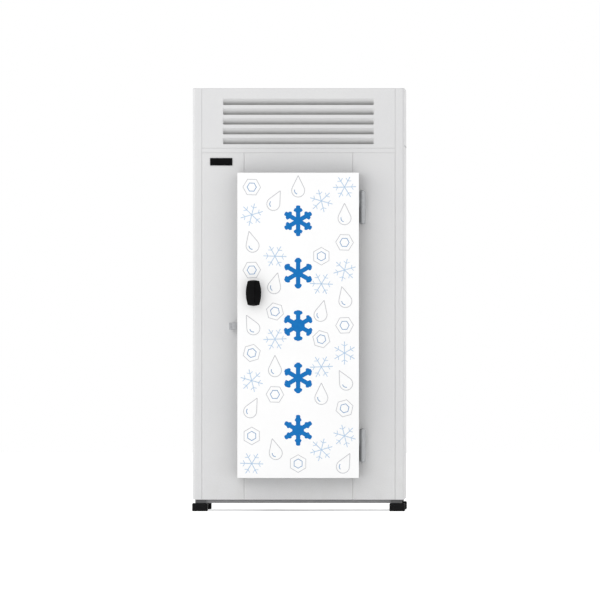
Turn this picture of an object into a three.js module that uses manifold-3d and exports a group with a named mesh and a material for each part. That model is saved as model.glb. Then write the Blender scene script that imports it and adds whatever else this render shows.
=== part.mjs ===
// Ice merchandiser freezer: a modular insulated cabinet on four moulded feet, with one hinged door,
// a sealed cooling unit behind a louvred hood on top, and an evaporator hung under the ceiling.
// Millimetres. +X is the viewer's right when facing the door, +Y the back, +Z up. The floor is Z = 0.

import * as THREE from 'three';
import { mergeVertices } from 'three/addons/utils/BufferGeometryUtils.js';
import Module from 'manifold-3d';

const wasm = await Module();
wasm.setup();

// ---------------------------------------------------------------- driving dimensions

// Cabinet
const WIDTH = 1100;
const HEIGHT = 2200;
const BODY_DEPTH = 850;
const WALL = 70;
const POST_FACE = 47;
const POST_RADIUS = 25;
const CENTRE_PANEL_WIDTH = 564;
const FOLD = 2.5;
const TONGUE_DEPTH = 10;
const TONGUE_THICKNESS = 18;
const SHEET = 2;
const GAP = 0.3;
const WELD = 0.01;

// Feet and base frame
const FOOT_WIDTH = 81;
const FOOT_HEIGHT = 42;
const FOOT_OVERHANG = 3.5;
const FOOT_TOP_RADIUS = 6;
const FOOT_BOTTOM_RADIUS = 12;
const BASE_HEIGHT = 18;
const SOCKET_WIDTH = 55;
const SOCKET_INSET = 12.5;
const RAIL_WIDTH = 38;
const RAIL_RECESS = 8;
const RAIL_WALL = 3;
const CROSS_MEMBERS = 2;

// Hood and machine deck
const HOOD_HEIGHT = 312;
const DECK_HEIGHT = 24;
const HOOD_FLANGE = 25;
const COVER_LIP = 15;
const LOUVRE_COUNT = 5;
const LOUVRE_WIDTH = 787;
const LOUVRE_HEIGHT = 32;
const LOUVRE_PITCH = 51;
const LOUVRE_TOP = 55;
const LOUVRE_DEPTH = 20;

// Door opening and leaf
const OPENING_WIDTH = 480;
const THRESHOLD_HEIGHT = 190;
const LINTEL_HEIGHT = 180;
const LEAF_LAP = 76;
const LEAF_DEPTH = 88;
const LINER_SHEET = 3;
const PLUG_DEPTH = 15;
const PLUG_CLEARANCE = 10;
const GASKET_DEPTH = 12;
const GASKET_WIDTH = 22;
const GASKET_INSET = 10;
const GASKET_GROOVE = 4;
const SILL_SHEET = 3;

// Hinges
const LOWER_HINGE_INSET = 169;
const UPPER_HINGE_INSET = 178;
const HINGE_LENGTH = 177;
const BARREL_RADIUS = 15.5;
const BARREL_CLEARANCE = 1.5;
const HINGE_PROUD = 45;
const PIN_RADIUS = 6;
const PIN_CLEARANCE = 0.4;
const HINGE_WEB = 12;
const HINGE_PLATE = 5;
const HINGE_PLATE_REACH = 36;
const HINGE_FACETS = 18;

// Handle and lock
const HANDLE_X = -231;
const HANDLE_Z = 1135;
const GRIP_WIDTH = 80;
const GRIP_HEIGHT = 134;
const GRIP_DEPTH = 31;
const GRIP_SIDE_BULGE = 9;
const GRIP_END_BULGE = 4;
const GRIP_CORNER = 9;
const ROSETTE_RADIUS = 25;
const ROSETTE_DEPTH = 24;
const ROSETTE_LIP = 7;
const ROSETTE_FLANGE = 5.3;
const SPINDLE_WIDTH = 12;
const CAM_RADIUS = 17;
const CAM_THICKNESS = 8;
const LINK_PIN_RADIUS = 2.5;
const PIN_FACETS = 12;
const CAM_FACETS = 18;
const SPINDLE_FACETS = 16;
const BOLT_TRAVEL = 16;
const BOLT_THICKNESS = 12;
const BOLT_HEIGHT = 34;
const NOSE_HEIGHT = 22;
const BOLT_Z = 963;
const BOLT_PROUD = 34;
const ROD_WIDTH = 16;
const ROD_THICKNESS = 6;
const RUNNING = 0.6;
const NOSE_LENGTH = 25;
const NOSE_INSET = 1;
const LOCK_CASE_HEIGHT = 60;
const CASE_WALL = 3;
const KEEPER_WIDTH = 42;
const KEEPER_HEIGHT = 35;
const KEEPER_SHEET = 3;
const KEEPER_LIP = 22;
const KEEPER_CLEARANCE = 3;

// Badge plate
const BADGE_WIDTH = 116;
const BADGE_HEIGHT = 39;
const BADGE_THICKNESS = 3;
const BADGE_EDGE = 43;
const BADGE_DROP = 27;

// Fans
const FAN_HUB_SHARE = 0.3;
const FAN_BLADES = 5;
const FAN_BLADE_THICKNESS = 2.5;
const FAN_BLADE_TILT = 28;
const FAN_BLADE_ROOT = 4;
const FAN_FACETS = 16;
const FAN_TIP_CLEARANCE = 6;
const GUARD_WIRE = 4;
const GUARD_RINGS = 2;
const GUARD_SPOKES = 4;
const GUARD_STANDOFF = 10;
const MOTOR_RADIUS = 33;
const MOTOR_LENGTH = 46;
const MOTOR_INSIDE = 20;
const ROTOR_DEPTH_SHARE = 0.14;
const COLLAR_DEPTH = 30;

// Condensing unit
const CONDENSER_WIDTH = 420;
const CONDENSER_HEIGHT = 252;
const CONDENSER_DEPTH = 56;
const CONDENSER_X = -190;
const CONDENSER_SETBACK = 50;
const CONDENSER_FAN = 220;
const SHROUD_DEPTH = 70;
const FIN_PITCH = 25;
const FIN_THICKNESS = 3;
const COIL_WEB = 8;
const TUBE_RADIUS = 5;
const RETURN_BENDS = 3;
const RETURN_BEND_PITCH = 60;
const BEND_ROOT = 2;
const BEND_STANDOFF = 4;
const BEND_STEPS = 6;
const COMPRESSOR_RADIUS = 82;
const COMPRESSOR_HEIGHT = 190;
const COMPRESSOR_X = 190;
const COMPRESSOR_SETBACK = 300;
const RECEIVER_RADIUS = 42;
const RECEIVER_HEIGHT = 170;
const RECEIVER_X = 30;
const RECEIVER_SETBACK = 420;
const CONTROL_BOX = { width: 180, depth: 110, height: 200 };
const CONTROL_BOX_EDGE = 150;
const CONTROL_BOX_SETBACK = 110;
const COMPRESSOR_PLATE = 4;
const COMPRESSOR_FOOT = 14;
const FOOT_BUSH_RADIUS = 13;
const GLAND_RADIUS = 9;
const GLAND_LENGTH = 12;
const PIPE_RADIUS = 6;
const PIPE_FACETS = 6;
const STUB_X = 25;
const STUB_Y = 33;
const PORT_RADIUS = 36;

// Evaporator
const EVAPORATOR_WIDTH = 640;
const EVAPORATOR_DEPTH = 300;
const EVAPORATOR_HEIGHT = 190;
const EVAPORATOR_REAR_AIR = 60;
const EVAPORATOR_FAN = 150;
const EVAPORATOR_FAN_SPREAD = 300;
const EVAPORATOR_COIL_DEPTH = 120;
const COIL_MARGIN = 20;
const TRAY_DEPTH = 26;
const DRAIN_RADIUS = 12;

// Light and floor rack
const LIGHT_WIDTH = 170;
const LIGHT_HEIGHT = 74;
const LIGHT_DEPTH = 52;
const RACK_HEIGHT = 35;
const RACK_SLAT = 48;
const RACK_SLATS = 9;
const RACK_MARGIN = 12;
const RACK_SLAT_THICKNESS = 12;

// ---------------------------------------------------------------- places worked out from them

const LEAF_PROUD = GASKET_DEPTH + LEAF_DEPTH;
const HANDLE_PROUD = ROSETTE_DEPTH + GRIP_DEPTH;
const FRONT_Y = (LEAF_PROUD + HANDLE_PROUD + GAP - BODY_DEPTH - FOOT_OVERHANG) / 2;
const REAR_Y = FRONT_Y + BODY_DEPTH;
const BODY_Z = FOOT_HEIGHT + BASE_HEIGHT;
const DECK_TOP = HEIGHT - HOOD_HEIGHT;
const WALL_TOP = DECK_TOP - DECK_HEIGHT;
const COVER_Z = HEIGHT - SHEET;
const CEILING_Z = WALL_TOP - WALL;
const FLOOR_Z = BODY_Z + WALL;
const SIDE_X = WIDTH / 2;
const INNER_X = SIDE_X - WALL;
const INNER_FRONT_Y = FRONT_Y + WALL;
const INNER_REAR_Y = REAR_Y - WALL;
const LEAF_BACK_Y = FRONT_Y - GASKET_DEPTH;
const LEAF_FRONT_Y = FRONT_Y - LEAF_PROUD;
const OPENING_BOTTOM = BODY_Z + THRESHOLD_HEIGHT;
const OPENING_TOP = WALL_TOP - LINTEL_HEIGHT;
const LEAF_WIDTH = OPENING_WIDTH + 2 * LEAF_LAP;
const LEAF_BOTTOM = OPENING_BOTTOM - LEAF_LAP;
const LEAF_TOP = OPENING_TOP + LEAF_LAP;
const LEAF_X = LEAF_WIDTH / 2;
const HINGE_HEIGHTS = [LEAF_BOTTOM + LOWER_HINGE_INSET, LEAF_TOP - UPPER_HINGE_INSET];
const HINGE_X = LEAF_X + BARREL_CLEARANCE + BARREL_RADIUS;
const HINGE_Y = FRONT_Y - HINGE_PROUD;
const PORT_X = INNER_X - 2 * PORT_RADIUS;
const PORT_Y = INNER_REAR_Y - 3 * PORT_RADIUS;
const EVAPORATOR_TOP = CEILING_Z - GAP;
const EVAPORATOR_BOTTOM = EVAPORATOR_TOP - EVAPORATOR_HEIGHT;
const EVAPORATOR_REAR_Y = INNER_REAR_Y - EVAPORATOR_REAR_AIR;
const EVAPORATOR_FRONT_Y = EVAPORATOR_REAR_Y - EVAPORATOR_DEPTH;
const DRAIN_X = 0;
const DRAIN_Z = EVAPORATOR_BOTTOM - TRAY_DEPTH - 3 * DRAIN_RADIUS;
const BOLT_Y = [FRONT_Y - BOLT_PROUD - BOLT_THICKNESS, FRONT_Y - BOLT_PROUD];
const ROD_Y = [BOLT_Y[0] - RUNNING - ROD_THICKNESS, BOLT_Y[0] - RUNNING];
const CAM_Y = [ROD_Y[0] - RUNNING - CAM_THICKNESS, ROD_Y[0] - RUNNING];
const ROD_X = HANDLE_X - BOLT_TRAVEL / 2;

// ---------------------------------------------------------------- colours

const paint = (color, roughness, metalness = 0) => ({ color, roughness, metalness });
const WHITE_PAINT = paint(0xe3e3e3, 0.42);
const HOOD_PAINT = paint(0xe3e3e3, 0.42);
const DOOR_FILM = paint(0xfafafa, 0.35);
const BLACK_PLASTIC = paint(0x1b1b1c, 0.5);
const BASE_STEEL = paint(0x757575, 0.55, 0.4);
const ZINC = paint(0xa9abad, 0.4, 0.8);
const STAINLESS = paint(0xa5a7a9, 0.32, 0.9);
const ALUMINIUM = paint(0xb4b6b8, 0.45, 0.8);
const COPPER = paint(0xb0683f, 0.35, 0.9);
const FOAM = paint(0xd8c79a, 0.9);
const GASKET = paint(0xcfcfcf, 0.7);
const LINER_PLASTIC = paint(0xf0f0ec, 0.5);
const LENS = paint(0xf0f0ea, 0.3);
const BLACK_ENAMEL = paint(0x151515, 0.4);
const GALVANISED = paint(0x9fa2a4, 0.5, 0.7);

// ---------------------------------------------------------------- solids from three.js geometries

/** A closed geometry as a solid that can be joined and cut. */
function solid(geometry) {
  const plain = geometry.clone();
  plain.deleteAttribute('normal');
  plain.deleteAttribute('uv');
  const merged = mergeVertices(plain, 1e-3);
  const vertProperties = new Float32Array(merged.attributes.position.array);
  const triVerts = new Uint32Array(merged.index.array);
  if (signedVolume(vertProperties, triVerts) < 0) triVerts.reverse();
  return new wasm.Manifold(new wasm.Mesh({ numProp: 3, vertProperties, triVerts }));
}

/** Six times the volume that the triangles enclose, negative when they face inwards. */
function signedVolume(points, corners) {
  let sum = 0;
  for (let i = 0; i < corners.length; i += 3) {
    const [a, b, c] = [0, 1, 2].map((k) => new THREE.Vector3().fromArray(points, 3 * corners[i + k]));
    sum += a.dot(b.cross(c));
  }
  return sum;
}

/** The solid's triangles as a geometry, without those that are thinner than the weld. */
function toGeometry(body) {
  const mesh = body.getMesh();
  const raw = new THREE.BufferGeometry();
  raw.setAttribute('position', new THREE.BufferAttribute(mesh.vertProperties, 3));
  raw.setIndex(new THREE.BufferAttribute(mesh.triVerts, 1));
  const geometry = mergeVertices(raw, WELD);
  const corners = geometry.index.array;
  const kept = [];
  for (let i = 0; i < corners.length; i += 3) {
    const [a, b, c] = corners.slice(i, i + 3);
    if (a !== b && b !== c && c !== a) kept.push(a, b, c);
  }
  geometry.setIndex(kept);
  geometry.computeVertexNormals();
  return geometry;
}

/** The solid turned about X, Y and Z in degrees, in that order, and then moved. */
function placed(body, [x, y, z], [turnX, turnY, turnZ] = [0, 0, 0]) {
  const [a, b, c] = [turnX, turnY, turnZ].map(THREE.MathUtils.degToRad);
  const geometry = toGeometry(body).rotateX(a).rotateY(b).rotateZ(c).translate(x, y, z);
  return solid(geometry);
}

function join(...bodies) {
  return bodies.reduce((whole, body) => whole.add(body));
}

function cut(body, ...tools) {
  return tools.reduce((rest, tool) => rest.subtract(tool), body);
}

const middle = ([low, high]) => (low + high) / 2;
const around = (centre, size) => [centre - size / 2, centre + size / 2];
const span = (a, b) => [Math.min(a, b), Math.max(a, b)];
const grow = ([low, high], by) => [low - by, high + by];

/** A block between two values on each axis. */
function block(x, y, z) {
  const geometry = new THREE.BoxGeometry(2, 2, 2);
  const corner = geometry.attributes.position;
  const end = (value) => (value < 0 ? 0 : 1);
  for (let i = 0; i < corner.count; i += 1) {
    corner.setXYZ(i, x[end(corner.getX(i))], y[end(corner.getY(i))], z[end(corner.getZ(i))]);
  }
  return solid(geometry);
}

/** A shape in X and Y, pushed up from Z = bottom by a height. */
function upright(shape, height, bottom = 0, curveSegments = 6) {
  const geometry = new THREE.ExtrudeGeometry(shape, { depth: height, bevelEnabled: false, curveSegments });
  geometry.translate(0, 0, bottom);
  return solid(geometry);
}

/** A shape drawn in X and Z, pushed back from Y = front by a depth. */
function facing(shape, depth, front = 0, curveSegments = 6) {
  const geometry = new THREE.ExtrudeGeometry(shape, { depth, bevelEnabled: false, curveSegments });
  geometry.rotateX(Math.PI / 2);
  geometry.translate(0, front + depth, 0);
  return solid(geometry);
}

/** A shape drawn in Y and Z, pushed right from X = left by a width. */
function sideways(shape, width, left = 0, curveSegments = 6) {
  const geometry = new THREE.ExtrudeGeometry(shape, { depth: width, bevelEnabled: false, curveSegments });
  geometry.rotateX(Math.PI / 2);
  geometry.rotateZ(Math.PI / 2);
  geometry.translate(left, 0, 0);
  return solid(geometry);
}

/** A round bar along one axis, between two values on it, centred on the other two in X, Y, Z order. */
function bar(axis, radius, [low, high], [u, v], sides = 24) {
  const geometry = new THREE.CylinderGeometry(radius, radius, high - low, sides);
  const along = middle([low, high]);
  if (axis === 'x') geometry.rotateZ(Math.PI / 2).translate(along, u, v);
  if (axis === 'y') geometry.translate(u, along, v);
  if (axis === 'z') geometry.rotateX(Math.PI / 2).translate(u, v, along);
  return solid(geometry);
}

/** A profile of [radius, height] pairs turned about Z. */
function turned(profile, segments = 24) {
  const points = profile.map(([radius, height]) => new THREE.Vector2(radius, height));
  return solid(new THREE.LatheGeometry(points, segments).rotateX(Math.PI / 2));
}

/** A round tube along a smooth curve through the points. */
function tube(points, radius, steps = 24, sides = 8) {
  const path = new THREE.CatmullRomCurve3(points.map((p) => new THREE.Vector3(...p)), false, 'centripetal');
  const section = new THREE.Shape();
  for (let i = 0; i < sides; i += 1) {
    const angle = (2 * Math.PI * i) / sides;
    const method = i ? 'lineTo' : 'moveTo';
    section[method](radius * Math.cos(angle), radius * Math.sin(angle));
  }
  return solid(new THREE.ExtrudeGeometry(section, { steps, extrudePath: path, bevelEnabled: false }));
}

/** An outline through straight points. */
function outline(points) {
  return new THREE.Shape(points.map(([x, y]) => new THREE.Vector2(x, y)));
}

const QUARTER_CIRCLE = 0.5523;

/** Continues a shape round a corner to a point, as a quarter circle. */
function roundTo(shape, corner, end) {
  const start = shape.currentPoint;
  const lean = (from, to) => from + QUARTER_CIRCLE * (to - from);
  shape.bezierCurveTo(
    lean(start.x, corner[0]), lean(start.y, corner[1]),
    lean(end[0], corner[0]), lean(end[1], corner[1]),
    end[0], end[1],
  );
}

/** A rectangle with round corners; radii run from the low left corner anticlockwise. */
function roundedRectangle([x0, x1], [y0, y1], radii) {
  const [a, b, c, d] = Array.isArray(radii) ? radii : [radii, radii, radii, radii];
  const shape = new THREE.Shape();
  shape.moveTo(x0 + a, y0);
  shape.lineTo(x1 - b, y0);
  roundTo(shape, [x1, y0], [x1, y0 + b]);
  shape.lineTo(x1, y1 - c);
  roundTo(shape, [x1, y1], [x1 - c, y1]);
  shape.lineTo(x0 + d, y1);
  roundTo(shape, [x0, y1], [x0, y1 - d]);
  shape.lineTo(x0, y0 + a);
  roundTo(shape, [x0, y0], [x0 + a, y0]);
  return shape;
}

/** A mesh with its own material, named as its piece. */
function piece(name, body, finish, position = [0, 0, 0], turn = 0) {
  const mesh = new THREE.Mesh(toGeometry(body), new THREE.MeshStandardMaterial(finish));
  mesh.name = name;
  mesh.position.set(...position);
  mesh.rotation.z = turn;
  return mesh;
}

// ---------------------------------------------------------------- insulated panels and posts

/** Draws a panel's edge at x, from one face to the other, with its tongue, groove or plain side. */
function jointEdge(shape, x, outward, kind, rising) {
  if (kind === 'plain') return;
  const isGroove = kind === 'groove';
  const half = TONGUE_THICKNESS / 2 + (isGroove ? GAP : 0);
  const reach = x + outward * (isGroove ? -(TONGUE_DEPTH + GAP) : TONGUE_DEPTH);
  const near = WALL / 2 - rising * half;
  const far = WALL / 2 + rising * half;
  shape.lineTo(x, near);
  shape.lineTo(reach, near);
  shape.lineTo(reach, far);
  shape.lineTo(x, far);
}

/** A foamed panel seen from above: outer face on Y = 0, with folded edges and a joint at each end. */
function panelShape(length, startKind, endKind) {
  const shape = new THREE.Shape();
  shape.moveTo(FOLD, 0);
  shape.lineTo(length - FOLD, 0);
  shape.lineTo(length, FOLD);
  jointEdge(shape, length, 1, endKind, 1);
  shape.lineTo(length, WALL);
  shape.lineTo(0, WALL);
  jointEdge(shape, 0, -1, startKind, -1);
  shape.lineTo(0, FOLD);
  return shape;
}

/** A corner post seen from above: outer corner on the origin, round outside, grooved for two panels. */
function postShape(hand) {
  const half = TONGUE_THICKNESS / 2 + GAP;
  const depth = TONGUE_DEPTH + GAP;
  const shape = new THREE.Shape();
  shape.moveTo(hand * POST_RADIUS, 0);
  shape.lineTo(hand * (POST_FACE - FOLD), 0);
  shape.lineTo(hand * POST_FACE, FOLD);
  shape.lineTo(hand * POST_FACE, WALL / 2 - half);
  shape.lineTo(hand * (POST_FACE - depth), WALL / 2 - half);
  shape.lineTo(hand * (POST_FACE - depth), WALL / 2 + half);
  shape.lineTo(hand * POST_FACE, WALL / 2 + half);
  shape.lineTo(hand * POST_FACE, WALL);
  shape.lineTo(hand * (WALL / 2 + half), WALL);
  shape.lineTo(hand * (WALL / 2 + half), WALL - depth);
  shape.lineTo(hand * (WALL / 2 - half), WALL - depth);
  shape.lineTo(hand * (WALL / 2 - half), WALL);
  shape.lineTo(hand * FOLD, WALL);
  shape.lineTo(0, WALL - FOLD);
  shape.lineTo(0, POST_RADIUS);
  roundTo(shape, [0, 0], [hand * POST_RADIUS, 0]);
  return shape;
}

function cornerPosts() {
  const bottom = BODY_Z + GAP;
  const height = COVER_Z - GAP - bottom;
  const post = (name, hand, x, y, turn) =>
    piece(name, upright(postShape(hand), height), WHITE_PAINT, [x, y, bottom], turn);
  return [
    post('front_post_left', 1, -SIDE_X, FRONT_Y, 0),
    post('front_post_right', -1, SIDE_X, FRONT_Y, 0),
    post('rear_post_left', -1, -SIDE_X, REAR_Y, Math.PI),
    post('rear_post_right', 1, SIDE_X, REAR_Y, Math.PI),
  ];
}

function wallPanels() {
  const bottom = BODY_Z + GAP;
  const height = WALL_TOP - GAP - bottom;
  const half = CENTRE_PANEL_WIDTH / 2;
  const frontLength = SIDE_X - POST_FACE - half - 2 * GAP;
  const sideLength = BODY_DEPTH - 2 * WALL - 2 * GAP;
  const rearLength = WIDTH - 2 * POST_FACE - 2 * GAP;
  const panel = (name, length, start, end, x, y, turn) =>
    piece(name, upright(panelShape(length, start, end), height), WHITE_PAINT, [x, y, bottom], turn);
  const postSide = SIDE_X - POST_FACE - GAP;
  return [
    panel('front_panel_left', frontLength, 'tongue', 'groove', -postSide, FRONT_Y, 0),
    panel('front_panel_right', frontLength, 'groove', 'tongue', half + GAP, FRONT_Y, 0),
    panel('side_panel_left', sideLength, 'tongue', 'tongue', -SIDE_X, INNER_REAR_Y - GAP, -Math.PI / 2),
    panel('side_panel_right', sideLength, 'tongue', 'tongue', SIDE_X, INNER_FRONT_Y + GAP, Math.PI / 2),
    rearPanel(panel, rearLength, postSide, bottom, height),
  ];
}

/** The rear wall, bored for the drain. */
function rearPanel(panel, length, postSide, bottom, height) {
  const body = upright(panelShape(length, 'tongue', 'tongue'), height);
  const drainHole = bar(
    'y', DRAIN_RADIUS + 2 * GAP, [-WALL, 2 * WALL], [postSide - DRAIN_X, DRAIN_Z - bottom], 16,
  );
  return piece('rear_panel', cut(body, drainHole), WHITE_PAINT, [postSide, REAR_Y, bottom], Math.PI);
}

/** The centre front panel, with the door opening through it. */
function doorFramePanel() {
  const bottom = BODY_Z + GAP;
  const height = WALL_TOP - GAP - bottom;
  const body = upright(panelShape(CENTRE_PANEL_WIDTH, 'tongue', 'tongue'), height);
  const opening = block(
    around(CENTRE_PANEL_WIDTH / 2, OPENING_WIDTH), [-WALL, 2 * WALL],
    [OPENING_BOTTOM - bottom, OPENING_TOP - bottom],
  );
  const place = [-CENTRE_PANEL_WIDTH / 2, FRONT_Y, bottom];
  return piece('door_frame_panel', cut(body, opening), WHITE_PAINT, place);
}

/** The stainless threshold, folded over the foot of the door opening. */
function doorSill() {
  const inner = OPENING_BOTTOM + GAP;
  const back = INNER_FRONT_Y + GAP;
  const profile = outline([
    [FRONT_Y + PLUG_DEPTH + PLUG_CLEARANCE, inner],
    [back, inner],
    [back, inner - 4 * SILL_SHEET],
    [back + SILL_SHEET, inner - 4 * SILL_SHEET],
    [back + SILL_SHEET, inner + SILL_SHEET],
    [FRONT_Y + PLUG_DEPTH + PLUG_CLEARANCE, inner + SILL_SHEET],
  ]);
  const length = OPENING_WIDTH - 2 * GAP;
  return piece('door_sill', sideways(profile, length, -length / 2), STAINLESS);
}

function floorAndCeiling() {
  const x = [-INNER_X + GAP, INNER_X - GAP];
  const y = [INNER_FRONT_Y + GAP, INNER_REAR_Y - GAP];
  const port = bar('z', PORT_RADIUS, [CEILING_Z - WALL, WALL_TOP + WALL], [PORT_X, PORT_Y], 20);
  return [
    piece('floor_panel', block(x, y, [BODY_Z + GAP, FLOOR_Z]), WHITE_PAINT),
    piece('ceiling_panel', cut(block(x, y, [CEILING_Z, WALL_TOP - GAP]), port), WHITE_PAINT),
  ];
}

// ---------------------------------------------------------------- base frame and feet

/** A downward channel between two values in X and in Y. */
function channel(x, y, z) {
  const inset = ([low, high]) => [low + RAIL_WALL, high - RAIL_WALL];
  return cut(block(x, y, z), block(inset(x), inset(y), [z[0] - RAIL_WALL, z[1] - RAIL_WALL]));
}

function baseFrame() {
  const z = [FOOT_HEIGHT + GAP, BODY_Z];
  const outerX = SIDE_X - SOCKET_INSET;
  const outerFront = FRONT_Y + SOCKET_INSET;
  const outerRear = REAR_Y - SOCKET_INSET;
  const sockets = [];
  for (const side of [-1, 1]) {
    const x = span(side * outerX, side * (outerX - SOCKET_WIDTH));
    sockets.push(block(x, [outerFront, outerFront + SOCKET_WIDTH], z));
    sockets.push(block(x, [outerRear - SOCKET_WIDTH, outerRear], z));
  }
  const railX = outerX - RAIL_RECESS;
  const overlap = 1;
  const endX = outerX - SOCKET_WIDTH + overlap;
  const endY = [outerFront + SOCKET_WIDTH - overlap, outerRear - SOCKET_WIDTH + overlap];
  const rails = [
    channel([-endX, endX], [outerFront + RAIL_RECESS, outerFront + RAIL_RECESS + RAIL_WIDTH], z),
    channel([-endX, endX], [outerRear - RAIL_RECESS - RAIL_WIDTH, outerRear - RAIL_RECESS], z),
    channel([-railX, -railX + RAIL_WIDTH], endY, z),
    channel([railX - RAIL_WIDTH, railX], endY, z),
  ];
  const railReach = RAIL_RECESS + RAIL_WIDTH - overlap;
  const crossY = [outerFront + railReach, outerRear - railReach];
  for (let i = 1; i <= CROSS_MEMBERS; i += 1) {
    const x = -railX + (2 * railX * i) / (CROSS_MEMBERS + 1);
    rails.push(channel(around(x, RAIL_WIDTH), crossY, z));
  }
  return piece('base_frame', join(...sockets, ...rails), BASE_STEEL);
}

/** One moulded foot: soft top edges, a larger radius low down, and a tapered side. */
function foot() {
  const radii = [FOOT_BOTTOM_RADIUS, FOOT_BOTTOM_RADIUS, FOOT_TOP_RADIUS, FOOT_TOP_RADIUS];
  const half = FOOT_WIDTH / 2;
  const side = roundedRectangle([-half, half], [0, FOOT_HEIGHT], radii);
  const plan = roundedRectangle([-half, half], [-half, half], FOOT_TOP_RADIUS);
  const fromFront = facing(side, FOOT_WIDTH, -half, 4);
  const fromSide = sideways(side, FOOT_WIDTH, -half, 4);
  const fromTop = upright(plan, FOOT_HEIGHT, 0, 3);
  return fromTop.intersect(fromFront).intersect(fromSide);
}

function feet() {
  const reachX = SIDE_X + FOOT_OVERHANG - FOOT_WIDTH / 2;
  const frontY = FRONT_Y - FOOT_OVERHANG + FOOT_WIDTH / 2;
  const rearY = REAR_Y + FOOT_OVERHANG - FOOT_WIDTH / 2;
  const shape = foot();
  return [
    piece('foot_front_left', shape, BLACK_PLASTIC, [-reachX, frontY, 0]),
    piece('foot_front_right', shape, BLACK_PLASTIC, [reachX, frontY, 0]),
    piece('foot_rear_left', shape, BLACK_PLASTIC, [-reachX, rearY, 0]),
    piece('foot_rear_right', shape, BLACK_PLASTIC, [reachX, rearY, 0]),
  ];
}

// ---------------------------------------------------------------- hood

/** The cabinet's footprint less a notch for each corner post, drawn in from its edge by an inset. */
function notchedFootprint(inset) {
  const x = SIDE_X - inset;
  const front = FRONT_Y + inset;
  const rear = REAR_Y - inset;
  const dx = POST_FACE + GAP;
  const dy = WALL + GAP;
  return outline([
    [-x + dx, front], [x - dx, front], [x - dx, front + dy], [x, front + dy],
    [x, rear - dy], [x - dx, rear - dy], [x - dx, rear], [-x + dx, rear],
    [-x + dx, rear - dy], [-x, rear - dy], [-x, front + dy], [-x + dx, front + dy],
  ]);
}

/** The deck that carries the cooling unit: a folded pan whose front flange shows as a strip. */
function machineDeck() {
  const pan = upright(notchedFootprint(0), DECK_HEIGHT - GAP, WALL_TOP);
  const hollow = upright(notchedFootprint(SHEET), DECK_HEIGHT - GAP - SHEET + WALL, WALL_TOP - WALL);
  const port = bar('z', PORT_RADIUS, [WALL_TOP, DECK_TOP + WALL], [PORT_X, PORT_Y], 20);
  return piece('machine_deck', cut(pan, hollow, port), HOOD_PAINT);
}

/** A sheet panel with flanges turned back all round: outer face on Y = 0, centred in X, foot on Z = 0. */
function sheetTray(width, height) {
  const tray = block(around(0, width), [0, HOOD_FLANGE], [0, height]);
  const hollow = block(
    around(0, width - 2 * SHEET), [SHEET, 2 * HOOD_FLANGE], [SHEET, height - SHEET],
  );
  return cut(tray, hollow);
}

/** One pressed louvre seen from its end: Y runs inwards and Z down from the slot's top edge. */
function louvreProfile() {
  const lip = LOUVRE_HEIGHT - SHEET;
  const root = 0.2 * SHEET;
  const shape = new THREE.Shape();
  shape.moveTo(root, 0);
  shape.quadraticCurveTo(0.1 * LOUVRE_DEPTH, -0.45 * lip, LOUVRE_DEPTH, -lip);
  shape.lineTo(LOUVRE_DEPTH + SHEET, -lip + SHEET);
  shape.quadraticCurveTo(0.1 * LOUVRE_DEPTH + 1.5 * SHEET, -0.4 * lip, 1.2 * SHEET, SHEET);
  shape.lineTo(root, SHEET);
  return shape;
}

/** The plate that closes a louvre's end, standing a little proud of the blade. */
function louvreEnd() {
  const lip = LOUVRE_HEIGHT - SHEET;
  const root = 0.5 * SHEET;
  const shape = new THREE.Shape();
  shape.moveTo(root, 1.5 * SHEET);
  shape.lineTo(1.5 * SHEET, 1.5 * SHEET);
  shape.quadraticCurveTo(
    0.1 * LOUVRE_DEPTH + 2.2 * SHEET, -0.35 * lip, LOUVRE_DEPTH + 1.6 * SHEET, -lip + 1.2 * SHEET,
  );
  shape.lineTo(LOUVRE_DEPTH + 0.3 * SHEET, -lip - 0.5 * SHEET);
  shape.lineTo(1.5 * SHEET, -LOUVRE_HEIGHT - SHEET);
  shape.lineTo(root, -LOUVRE_HEIGHT - SHEET);
  return shape;
}

/** Cuts the slots in a tray and presses a blade inwards over each of them. */
function louvred(tray, height) {
  let panel = tray;
  for (let i = 0; i < LOUVRE_COUNT; i += 1) {
    const top = height - LOUVRE_TOP - i * LOUVRE_PITCH;
    const slot = block(around(0, LOUVRE_WIDTH), [-SHEET, 2 * SHEET], [top - LOUVRE_HEIGHT, top]);
    const lift = (body) => placed(body, [0, 0, top]);
    const blade = lift(sideways(louvreProfile(), LOUVRE_WIDTH + SHEET, -(LOUVRE_WIDTH + SHEET) / 2, 4));
    const ends = [-1, 1].map((side) => {
      const [left] = span(side * (LOUVRE_WIDTH / 2), side * (LOUVRE_WIDTH / 2 + SHEET));
      return lift(sideways(louvreEnd(), SHEET, left, 4));
    });
    panel = join(cut(panel, slot), blade, ...ends);
  }
  return panel;
}

function hoodPanels() {
  const bottom = DECK_TOP;
  const height = COVER_Z - GAP - bottom;
  const frontWidth = WIDTH - 2 * POST_FACE - 2 * GAP;
  const sideWidth = BODY_DEPTH - 2 * WALL - 2 * GAP;
  const louvredPanel = louvred(sheetTray(frontWidth, height), COVER_Z + SHEET - bottom);
  const plainPanel = sheetTray(sideWidth, height);
  const middleY = (FRONT_Y + REAR_Y) / 2;
  return [
    piece('grille_panel', louvredPanel, HOOD_PAINT, [0, FRONT_Y, bottom]),
    piece('hood_rear_panel', louvredPanel, HOOD_PAINT, [0, REAR_Y, bottom], Math.PI),
    piece('hood_side_left', plainPanel, HOOD_PAINT, [-SIDE_X, middleY, bottom], -Math.PI / 2),
    piece('hood_side_right', plainPanel, HOOD_PAINT, [SIDE_X, middleY, bottom], Math.PI / 2),
  ];
}

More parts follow.
